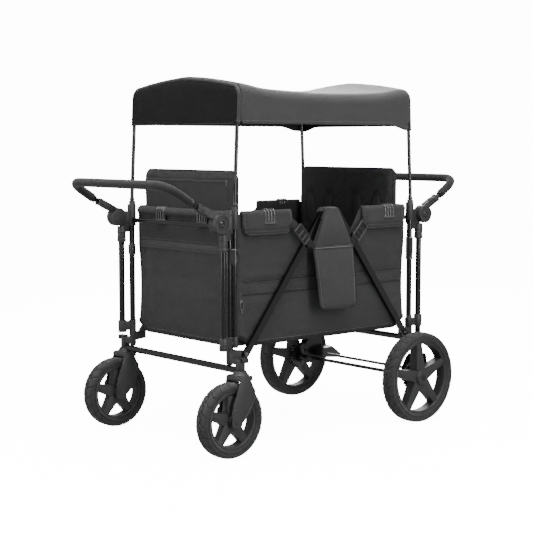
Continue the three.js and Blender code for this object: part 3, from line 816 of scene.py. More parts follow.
class WAGON_OT_wheels(Operator):
    """Treaded tyres, spoked rims, brake drums, forks and swivel locks"""

    bl_idname = "wagon.wheels"
    bl_label = "Wheels"

    def execute(self, context):
        shape = context.scene.wagon.wheel
        for side in ("left", "right"):
            at, name = ("front", side), f"front_{side}"
            spot = (0.424, 0.294, 0.112)
            tyre = treaded_tyre(spot, 0.112, 0.078, 0.048, shape.lugs, shape.tread)
            piece(f"{name}_treaded_tyre", tyre.mirrored(*at), "tyre_rubber", f"{name}_caster_wheel",
                  f"{name}_caster_tyre", sharp=50)
            rim = star_rim(spot, 0.078, 0.048, 0.0195, -0.0265, 0.0265, 0.0115, 0.0006)
            piece(f"{name}_star_rim", rim.mirrored(*at), "moulding", f"{name}_caster_wheel", f"{name}_caster_rim",
                  sharp=14)
            caps = Shape()
            for way in (-1, 1):
                y = 0.294 + way * 0.034
                caps.join(bolt_head((0.424, y, 0.112), (0, way, 0), 0.0072, 0.0048))
                caps.join(disc(0.0125, (0.424, y, 0.112), *sorted((-way * 0.001, way * 0.0016)), edge=0.0006))
            caps.join(self.fork_relief())
            softened(f"{name}_caster_fork", "moulding", f"{name}_caster", 0.0018, caps.mirrored(*at))
            softened(f"{name}_swivel_lock", "black_moulding", f"{name}_swivel_lock", 0.001)
            at, name = ("rear", side), f"rear_{side}"
            spot = (0.370, 0.306, 0.149)
            tyre = treaded_tyre(spot, 0.149, 0.113, 0.050, int(shape.lugs * 1.33), shape.tread * 0.8)
            piece(f"{name}_treaded_tyre", tyre.mirrored(*at), "tyre_rubber", f"{name}_wheel", f"{name}_tyre", sharp=50)
            rim = star_rim(spot, 0.113, 0.050, 0.0265, -0.0315, 0.0245, 0.0150, 0.0014, 0.40)
            rim.join(disc(0.0225, spot, 0.0240, 0.0266, "Y", 0.0014, 40))
            piece(f"{name}_star_rim", rim.mirrored(*at), "moulding", f"{name}_wheel", f"{name}_rim", sharp=14)
            piece(f"{name}_brake_ring", brake_ring(spot).mirrored(*at), "black_moulding", f"{name}_wheel", sharp=20)
        softened("brake_bar", "black_moulding", "brake", 0.0016, self.pedal_ribs())
        return {"FINISHED"}

    def fork_relief(self):
        """Domed crown under the swivel, and a boss and raised edges on each leg."""
        crown = [(0.0137, 0.2543), (0.0178, 0.2543), (0.0196, 0.2520), (0.0222, 0.2460), (0.0268, 0.2425),
                 (0.0272, 0.2385), (0.0137, 0.2385)]
        made = turned(crown, (0.383, 0.294, 0), 40, "Z")
        for way in (-1, 1):
            face = 0.294 + way * 0.034
            made.join(slab(rounded(0.404, 0.443, 0.094, 0.150, 0.010, 4), *sorted((face - way * 0.001, face + way * 0.0028)),
                           "Y", 0.0012))
            for edge in (((0.3725, 0.230), (0.3570, 0.198), (0.3575, 0.168), (0.3790, 0.137), (0.4000, 0.112)),
                         ((0.4055, 0.230), (0.4200, 0.190), (0.4330, 0.158))):
                made.join(tube(smooth_path([(x, face, z) for x, z in edge], 0.010, 0.004), 0.0015, 8, 0.0004))
        return made

    def pedal_ribs(self):
        """Grip ribs across the tread of each pedal."""
        ribs = Shape()
        for out in (-1, 1):
            for k in range(4):
                x = 0.470 + 0.010 * k
                z = 0.181 - (x - 0.470) * 0.74
                ribs.join(tube([(x, out * 0.209, z), (x, out * 0.223, z), (x, out * 0.237, z)], 0.0013, 8, 0.0004))
        return ribs


# ---------- soft body ----------

def wall_top(x):
    """Height of the side wall's edge: level beside the flaps, then down towards the middle hinge."""
    low, high, inner, outer = 0.600, 0.7115, 0.078, 0.150
    f = min(1, max(0, (abs(x) - inner) / (outer - inner)))
    return low + (high - low) * f


def ease(t):
    t = min(1, max(0, t))
    return t * t * (3 - 2 * t)


def dent(p, scale, seed):
    return noise.noise(Vector(p) * scale + Vector((seed, seed * 1.7, -seed)))


def round_plan(half_x, half_y, corner, count):
    """Points, outward directions and corner shares round a rounded rectangle, evenly spaced."""
    straight_x, straight_y, arc = 2 * (half_x - corner), 2 * (half_y - corner), math.pi / 2 * corner
    total = 2 * straight_x + 2 * straight_y + 4 * arc
    out = []
    for k in range(count):
        s = total * k / count
        for cx, cy, start, run, d in (
                (half_x, -half_y + corner, 0, straight_y, (0, 1)), (half_x - corner, half_y, 90, straight_x, (-1, 0)),
                (-half_x, half_y - corner, 180, straight_y, (0, -1)), (-half_x + corner, -half_y, 270, straight_x, (1, 0))):
            if s < run:
                n = (math.cos(math.radians(start)), math.sin(math.radians(start)))
                near = min(s, run - s)
                out.append(((cx + d[0] * s, cy + d[1] * s), n, near))
                break
            s -= run
            if s < arc:
                t = math.radians(start) + s / corner
                ox, oy = cx + d[0] * run, cy + d[1] * run
                n0 = (math.cos(math.radians(start)), math.sin(math.radians(start)))
                ox, oy = ox - n0[0] * corner, oy - n0[1] * corner
                out.append(((ox + corner * math.cos(t), oy + corner * math.sin(t)), (math.cos(t), math.sin(t)), 0.0))
                break
            s -= arc
    return out


class WAGON_OT_body(Operator):
    """The fabric body with its rolled rim, seams, flaps, pockets, clips and straps"""

    bl_idname = "wagon.body"
    bl_label = "Fabric body"

    def execute(self, context):
        wrinkle = context.scene.wagon.cloth.wrinkle
        piece("body_shell", self.shell(wrinkle), "body_cloth", "front_frame", "fabric_tub", sharp=80, folds=True)
        piece("body_seams", self.seams(wrinkle), "binding", "front_frame", sharp=60, folds=True)
        piece("end_wall_tapes", self.end_tapes(wrinkle), "tape_cloth", "front_frame", sharp=60, folds=True)
        piece("body_thread", self.thread(wrinkle), "thread", "front_frame", folds=True)
        self.flaps()
        self.end_bands()
        self.straps(context)
        return {"FINISHED"}

    def swell(self, p, n, near, z, wrinkle):
        """How far the cloth stands out from its flat wall: fuller between seams, pulled in at corners, dented."""
        up = (z - 0.312) / 0.4
        end_wall = abs(n[0]) > 0.7
        full = 0.0045 * math.sin(math.pi * min(1, max(0, (z - 0.33) / 0.17))) * ease(near / 0.09)
        full += 0.0035 * math.sin(math.pi * min(1, max(0, (z - 0.515) / 0.17))) * ease(near / 0.09)
        pulled = 0.006 * math.exp(-(near / 0.045) ** 2) * math.sin(math.pi * min(1, max(0, (z - 0.345) / 0.245))) ** 0.8
        here = (p[0], p[1], z)
        soft = wrinkle * (0.9 * dent(here, 5.5, 3.1) + 0.5 * dent((p[0] * 0.5, p[1] * 0.5, z * 2.2), 19, 8.4))
        crease = wrinkle * 0.5 * abs(dent((p[0] * 1.5 + z * 0.6, p[1] * 1.5, z), 11, 5.2))
        quiet = ease(near / 0.03) * min(1, ease(up / 0.12) + 0.25)
        out = full * (0.6 if end_wall else 1.0) - pulled + (soft - crease) * quiet
        seam = 0.0
        lines = (0.617, 0.335) if end_wall else (0.512, 0.474)
        for level in lines:
            seam += 0.0026 * math.exp(-((z - level) / 0.0035) ** 2)
        return min(out, 0.0048) - seam * ease(near / 0.02)

    def wall_point(self, p, n, near, z, wrinkle, inset=0.004):
        """A point on the outer face of the wall."""
        out = self.swell(p, n, near, z, wrinkle) - inset
        return (p[0] + n[0] * out, p[1] + n[1] * out, z)

    def floor_height(self, near):
        """The lower edge rises towards each corner."""
        return 0.3125 + 0.030 * (1 - ease((near + 0.012) / 0.060))

    def shell(self, wrinkle):
        columns = []
        for p, n, near in round_plan(*WALL, 420):
            top, low = wall_top(p[0]) if abs(n[1]) > 0.5 else 0.7115, self.floor_height(near)
            column = []
            for f in (0.985, 0.9, 0.7, 0.4):
                column.append((p[0] - n[0] * 0.05 * f, p[1] - n[1] * 0.05 * f, low + 0.0006 * (1 - f)))
            base = self.wall_point(p, n, near, low + 0.006, wrinkle)
            column.append((base[0] - n[0] * 0.0045, base[1] - n[1] * 0.0045, low + 0.0008))
            rows = 56
            for k in range(rows + 1):
                z = low + 0.006 + (top - 0.006 - low - 0.006) * k / rows
                column.append(self.wall_point(p, n, near, z, wrinkle))
            outer = column[-1]
            thick = 0.0040
            for t in (30, 60, 90, 120, 150):
                a = math.radians(t)
                column.append((outer[0] - n[0] * thick / 2 * (1 - math.cos(a)), outer[1] - n[1] * thick / 2 * (1 - math.cos(a)),
                               top - 0.006 + 0.005 * math.sin(a)))
            for k in range(17):
                z = top - 0.006 - (top - 0.006 - 0.3175) * k / 16
                q = self.wall_point(p, n, near, max(z, low + 0.006), wrinkle)
                column.append((q[0] - n[0] * thick, q[1] - n[1] * thick, z if z > low + 0.003 else low + 0.003))
            column.append((p[0] - n[0] * 0.05, p[1] - n[1] * 0.05, max(0.3168, low + 0.003)))
            columns.append(column)
        made = Shape().grid(columns, closed=True)
        n_rows = len(columns[0])
        made.faces.append(tuple(i * n_rows for i in range(len(columns))))
        made.faces.append(tuple(i * n_rows + n_rows - 1 for i in reversed(range(len(columns)))))
        return made

    def line_on_wall(self, wrinkle, level, keep, lift=0.0006, step=420):
        """Runs of points on the wall at one height, wherever keep allows."""
        runs, run = [], []
        for p, n, near in round_plan(*WALL, step):
            z = level(p, n, near)
            top = wall_top(p[0]) if abs(n[1]) > 0.5 else 0.7115
            if keep(p, n, near) and z < top - 0.004:
                q = self.wall_point(p, n, near, z, wrinkle, 0.004 - lift)
                run.append((Vector(q), n))
            elif run:
                runs.append(run)
                run = []
        if run:
            runs.append(run)
        return [r for r in runs if len(r) > 3]

    def seams(self, wrinkle):
        """Bound lower edge and the folded tapes that the pleats end in."""
        made = Shape()
        for run in self.line_on_wall(wrinkle, lambda p, n, near: self.floor_height(near) + 0.008,
                                     lambda p, n, near: True, 0.0012):
            run.append(run[0])
            path = [q for q, n in run]
            made.join(strap(path, [Vector((*n, 0)) for q, n in run], 0.012, 0.0014))
        for level in (0.507, 0.4695):
            for run in self.line_on_wall(wrinkle, lambda p, n, near: level,
                                         lambda p, n, near: abs(n[1]) > 0.7 and near > 0.006, 0.0008):
                made.join(strap([q for q, n in run], [Vector((*n, 0)) for q, n in run], 0.0033, 0.0018))
        return made

    def end_tapes(self, wrinkle):
        """A raised band of cloth across each end wall, with a piped lower edge."""
        made = Shape()
        for level, wide, thick in ((0.6030, 0.0220, 0.0018), (0.5900, 0.0040, 0.0030)):
            for run in self.line_on_wall(wrinkle, lambda p, n, near: level,
                                         lambda p, n, near: abs(n[0]) > 0.7 and near > 0.006, 0.0010):
                made.join(strap([q for q, n in run], [Vector((*n, 0)) for q, n in run], wide, thick))
        return made

    def thread(self, wrinkle):
        """Lines of stitching on the walls."""
        made = Shape()
        for level in (0.5045, 0.4735, 0.4695):
            for run in self.line_on_wall(wrinkle, lambda p, n, near: level,
                                         lambda p, n, near: abs(n[1]) > 0.7 and near > 0.004, 0.0004):
                made.join(stitches([q for q, n in run], (0, run[0][1][1], 0), thick=0.00045))
        for level in (0.6185, 0.5915):
            for run in self.line_on_wall(wrinkle, lambda p, n, near: level,
                                         lambda p, n, near: abs(n[0]) > 0.7 and near > 0.004, 0.0004):
                made.join(stitches([q for q, n in run], (run[0][1][0], 0, 0), thick=0.00045))
        for run in self.line_on_wall(wrinkle, lambda p, n, near: self.floor_height(near) + 0.0155,
                                     lambda p, n, near: near > 0.004, 0.0004):
            made.join(stitches([q for q, n in run], (*run[0][1], 0), thick=0.00045))
        return made

    def flaps(self):
        """Padded flaps folded over the side walls, with a stitched edge and a ribbed clip on each."""
        for end, side in CORNERS:
            x0, x1, top = 0.152, 0.346, 0.7205
            columns, count = [], 44
            for k in range(count + 1):
                f = k / count
                x = x0 + (x1 - x0) * f
                edge = min(f, 1 - f) * (x1 - x0)
                drop = 0.645 + 0.030 * (1 - math.sqrt(max(0, 1 - (1 - min(1, edge / 0.032)) ** 2)))
                puff = 0.0065 * ease(edge / 0.016) + 0.0035
                column = []
                for j in range(23):
                    g = j / 22
                    z = drop + (top - 0.012 - drop) * g
                    low = ease((z - drop) / 0.012)
                    y = 0.2585 + puff * (0.30 + 0.70 * low) - 0.0022 * math.exp(-((z - 0.661) / 0.0035) ** 2)
                    y += 0.0011 * dent((x, 0, z), 28, 2.2) * low
                    column.append((x, y, z))
                outer = column[-1]
                for t in (20, 45, 70, 95, 120, 150, 178):
                    a = math.radians(t)
                    r = (outer[1] - 0.2460) / 2
                    column.append((x, outer[1] - r * (1 - math.cos(a)), top - 0.012 + 0.0115 * math.sin(a)))
                column += [(x, 0.2458, 0.690), (x, 0.2456, 0.672), (x, 0.2496, 0.672), (x, 0.2500, 0.700),
                           (x, 0.2525, 0.7095), (x, 0.2560, 0.7100), (x, 0.2580, 0.700), (x, 0.2584, drop + 0.004)]
                columns.append(column)
            flap = Shape().grid(columns, around=True, caps=True)
            piece(f"{end}_{side}_flap", flap.mirrored(end, side), "body_cloth", "front_frame", sharp=75, folds=True)
            route = [(x0 + 0.005, 0.2660, 0.706), (x0 + 0.005, 0.2660, 0.650), (x1 - 0.005, 0.2660, 0.650),
                     (x1 - 0.005, 0.2660, 0.706)]
            line = smooth_path(route, 0.028, 0.003)
            piece(f"{end}_{side}_flap_thread", stitches([p + Vector((0, 0.0005, 0)) for p in line], (0, 1, 0), thick=0.0005)
                  .mirrored(end, side), "thread", "front_frame", folds=True)
            centre = 0.245 if end == "front" else 0.266
            self.ribbed_clip(f"{end}_{side}_flap_clip", lambda s, y, z: (centre + s, 0.2585 + y, z), (end, side),
                             "front_frame", True)

    def ribbed_clip(self, name, put, at, body, folds):
        """A comb-shaped clip that hooks over a rolled edge: four ribs on a bar, coloured much lighter than the black
        plate behind them as a painted highlight.
        """
        made = Shape()
        for k in range(4):
            s = -0.0174 + 0.0116 * k
            path = [(s, 0.0105, 0.684), (s, 0.0108, 0.705), (s, 0.0085, 0.7165), (s, 0.002, 0.7222), (s, -0.006, 0.7222),
                    (s, -0.0112, 0.7165), (s, -0.0122, 0.705)]
            made.join(tube(smooth_path(path, 0.003, 0.003), 0.0021, 10, 0.0006))
        made.join(tube([(-0.0235, 0.0102, 0.6815), (0, 0.0108, 0.6812), (0.0235, 0.0102, 0.6815)], 0.0030, 12, 0.0010))
        plate = block(-0.0255, 0.0255, 0.0070, 0.0096, 0.6795, 0.7150, 0.0008)
        # the ribs and bar get the lighter finish, a painted highlight; the plate keeps the plain black moulding
        for part, shape, finish in (("ribs", made, "clip_rib_painted_highlight"), ("plate", plate, "black_moulding")):
            placed = shape.moved(lambda p: put(p.x, p.y, p.z)).mirrored(*at)
            piece(f"{name}_{part}", placed, finish, body, folds=folds)

    def end_bands(self):
        """Rolled end rim, its pocket band, stitching and clips."""
        for end in ("front", "rear"):
            rows = []
            for k in range(73):
                y = -0.248 + 0.496 * k / 72
                r = 0.0125 * (0.66 + 0.34 * ease((0.248 - abs(y)) / 0.03)) + 0.0006 * dent((0, y, 0), 30, 4)
                cx, cz = 0.3640 - 0.008 * ease((abs(y) - 0.228) / 0.02), 0.7050
                rows.append([(cx + r * math.cos(t), y, cz + r * 1.12 * math.sin(t))
                             for t in [2 * math.pi * j / 22 for j in range(22)]])
            roll = Shape().grid(rows, around=True, caps=True)
            band = []
            for k in range(49):
                y = -0.240 + 0.480 * k / 48
                edge = 0.240 - abs(y)
                column = []
                for j in range(15):
                    z = 0.6150 + (0.6920 - 0.6150) * j / 14
                    bulge = 0.0030 * math.sin(math.pi * (z - 0.615) / 0.077) * ease(edge / 0.05)
                    tuck = 0.0050 * (1 - ease(edge / 0.022))
                    column.append((0.3655 - tuck + bulge + 0.0006 * dent((0, y, z), 24, 7), y, z))
                band.append(column)
            inner = [[(x - 0.004, y, z) for x, y, z in column] for column in band]
            whole = [a + list(reversed(b)) for a, b in zip(band, inner)]
            roll.grid(whole, around=True, caps=True)
            piece(f"{end}_rim_roll", roll.mirrored(end, "right"), "body_cloth", f"{end}_frame", sharp=75)
            lines = Shape()
            for z in (0.6180, 0.6885):
                lines.join(stitches([(0.3664, -0.236 + 0.008 * k, z) for k in range(60)], (1, 0, 0), thick=0.0005))
            piece(f"{end}_rim_thread", lines.mirrored(end, "right"), "thread", f"{end}_frame")
            for y, mark in ((-0.105, "left"), (0.105, "right")):
                self.ribbed_clip(f"{end}_{mark}_rim_clip", lambda s, d, z, y=y: (0.3655 + d * 1.15, y + s, z - 0.002),
                                 (end, "right"), f"{end}_frame", False)

    def straps(self, context):
        """Webbing with ladder locks from each flap's inner edge to the middle, and zip pulls."""
        for end, side in CORNERS:
            path = [Vector((0.160, 0.2690, 0.681)), Vector((0.150, 0.2745, 0.671)), Vector((0.136, 0.2790, 0.656)),
                    Vector((0.110, 0.2790, 0.630)), Vector((0.084, 0.2790, 0.604))]
            web = strap(smooth_path(path, 0.006, 0.004), (0, 1, 0), 0.025, 0.0018)
            piece(f"{end}_{side}_tie_strap", web.mirrored(end, side), "binding", "front_frame", folds=True)
            lock = self.ladder_lock()
            slope = math.atan2(0.669 - 0.614, 0.149 - 0.098)

            def placed(p):
                return (0.124 + p.x * math.cos(slope) - p.z * math.sin(slope), 0.2792 + p.y,
                        0.6425 + p.x * math.sin(slope) + p.z * math.cos(slope))
            piece(f"{end}_{side}_ladder_lock", lock.moved(placed).mirrored(end, side), "moulding",
                  "front_frame", folds=True)
            if end == "front":
                self.zip_pull(side, context.scene.wagon.cloth.wrinkle)

    def zip_pull(self, side, wrinkle):
        """Slider and pull tab of the pocket's zip, lying on the cloth."""
        wall = self.wall_point((0.338, 0.256), (0, 1), WALL[0] - WALL[2] - 0.338, 0.43, wrinkle)
        y = wall[1] + 0.0012
        loop = [(0.338, y, 0.452), (0.332, y, 0.450), (0.332, y, 0.426), (0.344, y, 0.426), (0.344, y, 0.450),
                (0.338, y, 0.452)]
        pull = tube(smooth_path(loop, 0.004, 0.002), 0.0008, 10, 0.0003)
        pull.join(block(0.3350, 0.3410, y - 0.0015, y + 0.0012, 0.446, 0.455, 0.0008))
        pull.join(block(0.3360, 0.3400, y - 0.0008, y + 0.0008, 0.412, 0.428, 0.0005))
        piece(f"front_{side}_zip_pull", pull.mirrored("front", side), "dark_steel", "front_frame", folds=True)

    def ladder_lock(self):
        """Three-bar buckle, its long side along the strap."""
        made = Shape()
        for z in (-0.0158, 0.0158):
            made.join(tube([(-0.030, 0, z), (0, 0.0016, z), (0.030, 0, z)], 0.0026, 10, 0.001))
        for x in (-0.029, -0.012, 0.006, 0.0285):
            made.join(tube([(x, 0, -0.016), (x, 0.0014, 0), (x, 0, 0.016)], 0.0025, 10, 0.0008))
        return made


# ---------- hinge covers ----------

class WAGON_OT_covers(Operator):
    """Hanging cloth covers over the middle hinges, with their pinned caps"""

    bl_idname = "wagon.covers"
    bl_label = "Hinge covers"

    def execute(self, context):
        for side in ("left", "right"):
            at = ("rear", side)
            cover = self.panel().join(self.peak())
            made = piece(f"{side}_cover_cloth", cover.mirrored(*at), "body_cloth", "middle_hinges",
                         f"{side}_hinge_cover", sharp=70)
            piece(f"{side}_cover_binding", self.binding().mirrored(*at), "binding", "middle_hinges", sharp=60)
            piece(f"{side}_cover_thread", self.thread().mirrored(*at), "thread", "middle_hinges")
        return {"FINISHED"}

    def width_at(self, z):
        """Half width of the cover at a height, with its two lower corners rounded."""
        if z > 0.597:
            f = (z - 0.597) / 0.125
            return 0.085 - 0.057 * f
        half = 0.085 - 0.007 * (0.597 - z) / 0.189
        return half - 0.022 * (1 - math.sqrt(max(0, 1 - (1 - min(1, (z - 0.408) / 0.022)) ** 2)))

    def face_at(self, z):
        """How far outboard the cover's outer face stands at a height."""
        if z > 0.597:
            f = (z - 0.597) / 0.125
            return 0.2895 - 0.0100 * f ** 1.4 + 0.0035 * math.sin(math.pi * f)
        f = (0.597 - z) / 0.189
        return 0.2885 + 0.0250 * f ** 0.85 + 0.0020 * math.sin(math.pi * f)

    def panel(self):
        """Upper panel and flap in one padded sheet, drawn in the quadrant and across both ends."""
        heights = [0.4085 + (0.5945 - 0.4085) * (k / 34) ** 0.9 for k in range(35)]
        heights += [0.5960, 0.5972, 0.5985] + [0.600 + 0.1175 * k / 20 for k in range(21)]
        front, back = [], []
        for z in heights:
            half, y = self.width_at(z), self.face_at(z)
            row, rear = [], []
            for k in range(33):
                s = -1 + k / 16
                edge = (1 - abs(s)) * half
                puff = 0.0042 * ease(edge / 0.011) * ease((z - 0.408) / 0.010)
                crease = 0.0030 * math.exp(-((z - 0.5975) / 0.0028) ** 2)
                soft = 0.0016 * dent((s * 0.08, 0, z), 16, 6.3)
                sag = 0.0040 * (1 - s * s) * ease((0.59 - z) / 0.1)
                row.append((s * half, y - 0.004 + puff - crease + soft * ease(edge / 0.01) + sag, z))
                rear.append((s * half, y - 0.0052 - crease * 0.3, z))
            front.append(row)
            back.append(rear)
        whole = [a + list(reversed(b)) for a, b in zip(front, back)]
        return Shape().grid(whole, around=True, caps=True)

    def peak(self):
        """The pinned cap that closes the cover's top over the rim, and its two side gussets."""
        rows = []
        for k in range(17):
            f = k / 16
            y = 0.2465 + (0.2800 - 0.2465) * f
            half = 0.0280 + 0.0030 * (1 - f)
            z = 0.7190 + 0.0030 * math.sin(math.pi * min(1, f * 1.1))
            rows.append([(-half - 0.004, y, z - 0.0130), (-half, y, z - 0.0035), (-half * 0.86, y, z), (0, y, z + 0.0006),
                         (half * 0.86, y, z), (half, y, z - 0.0035), (half + 0.004, y, z - 0.0130),
                         (half * 0.8, y, z - 0.0060), (-half * 0.8, y, z - 0.0060)])
        made = Shape().grid(rows, around=True, caps=True)
        for way in (-1, 1):
            gusset = []
            for k in range(15):
                z = 0.599 + (0.714 - 0.599) * k / 14
                half, y = self.width_at(z) - 0.0015, self.face_at(z) - 0.0045
                back = 0.2768 - 0.0290 * ease((z - 0.690) / 0.022)
                gusset.append([(way * half, y, z), (way * (half + 0.0015), (y + back) / 2, z), (way * (half + 0.001), back, z),
                               (way * (half - 0.0015), back, z), (way * (half - 0.002), (y + back) / 2, z)])
            made.grid(gusset, around=True, caps=True)
        return made

    def outline(self, low, high, count=44):
        return [(z, self.width_at(z), self.face_at(z)) for z in [low + (high - low) * k / count for k in range(count + 1)]]

    def binding(self):
        """Narrow tape round the cover's edge."""
        made = Shape()
        edge = self.outline(0.4086, 0.716)
        left = [Vector((-h, y - 0.0028, z)) for z, h, y in reversed(edge)]
        right = [Vector((h, y - 0.0028, z)) for z, h, y in edge]
        return made.join(tube(left + right, 0.0017, 8, 0.0005))

    def thread(self):
        """Stitching above the crease and inside the flap's edge."""
        y = self.face_at(0.6005)
        made = stitches([(-0.078 + 0.004 * k, y + 0.0004, 0.6015) for k in range(40)], (0, 1, 0), thick=0.00055)
        inset = [(z, h - 0.0080, f + 0.0004) for z, h, f in self.outline(0.418, 0.592, 40)]
        left = [Vector((-h, y, z)) for z, h, y in reversed(inset)]
        right = [Vector((h, y, z)) for z, h, y in inset]
        crease = [(-0.080 + 0.160 * k / 40, self.face_at(0.5975) + 0.0006, 0.5975) for k in range(41)]
        return made.join(stitches(left + right, (0, 1, 0), thick=0.0005), tube(crease, 0.0010, 8, 0.0003))


# ---------- padding ----------

def inflate(obj, pressure, cap, voxel=0.006, frames=20):
    """Remeshes a closed shape evenly, blows it up as cloth for a moment, and holds the move to cap."""
    again = obj.modifiers.new("even mesh", "REMESH")
    again.mode, again.voxel_size = "VOXEL", voxel
    settle(obj)
    start = [v.co.copy() for v in obj.data.vertices]
    cloth = obj.modifiers.new("cloth", "CLOTH")
    cloth.settings.quality = 4
    cloth.settings.use_pressure = True
    cloth.settings.uniform_pressure_force = pressure
    cloth.settings.tension_stiffness = cloth.settings.compression_stiffness = 12
    cloth.settings.bending_stiffness = 0.6
    cloth.settings.effector_weights.gravity = 0
    cloth.point_cache.frame_end = frames
    for frame in range(1, frames + 1):
        bpy.context.scene.frame_set(frame)
    settle(obj)
    bpy.context.scene.frame_set(1)
    for v, rest in zip(obj.data.vertices, start):
        move = v.co - rest
        v.co = rest + move * (min(1, cap / move.length) if move.length > 0 else 0)
    return obj


def pressed(obj, groove):
    """Pushes points in along their normals where groove says, for seams and sewn channels."""
    obj.data.update()
    normals = [v.normal.copy() for v in obj.data.vertices]
    for v, n in zip(obj.data.vertices, normals):
        v.co -= n * groove(v.co)
    return obj


def limited(obj, low, high):
    for v in obj.data.vertices:
        v.co = Vector([min(max(c, a), b) for c, a, b in zip(v.co, low, high)])
    return obj


def dip(value, at, width, deep):
    return deep * math.exp(-((value - at) / width) ** 2)


def pad_object(name, shape):
    mesh = bpy.data.meshes.new(name)
    mesh.from_pydata(shape.points, [], shape.faces)
    obj = bpy.data.objects.new(name, mesh)
    bpy.context.scene.collection.objects.link(obj)
    return obj


def surface_of(obj):
    """A function that drops a point onto an object's nearest surface, lifted a little off it."""
    tree = BVHTree.FromPolygons([v.co for v in obj.data.vertices], [tuple(p.vertices) for p in obj.data.polygons])

    def onto(point, lift=0.0):
        hit, normal, _, _ = tree.find_nearest(Vector(point))
        return hit + normal * lift
    return onto


def twin(obj, name):
    """A copy of a front piece, mirrored to the rear."""
    shape = Shape().add([(-v.co.x, v.co.y, v.co.z) for v in obj.data.vertices],
                        [tuple(reversed(p.vertices)) for p in obj.data.polygons])
    return pad_object(name, shape)


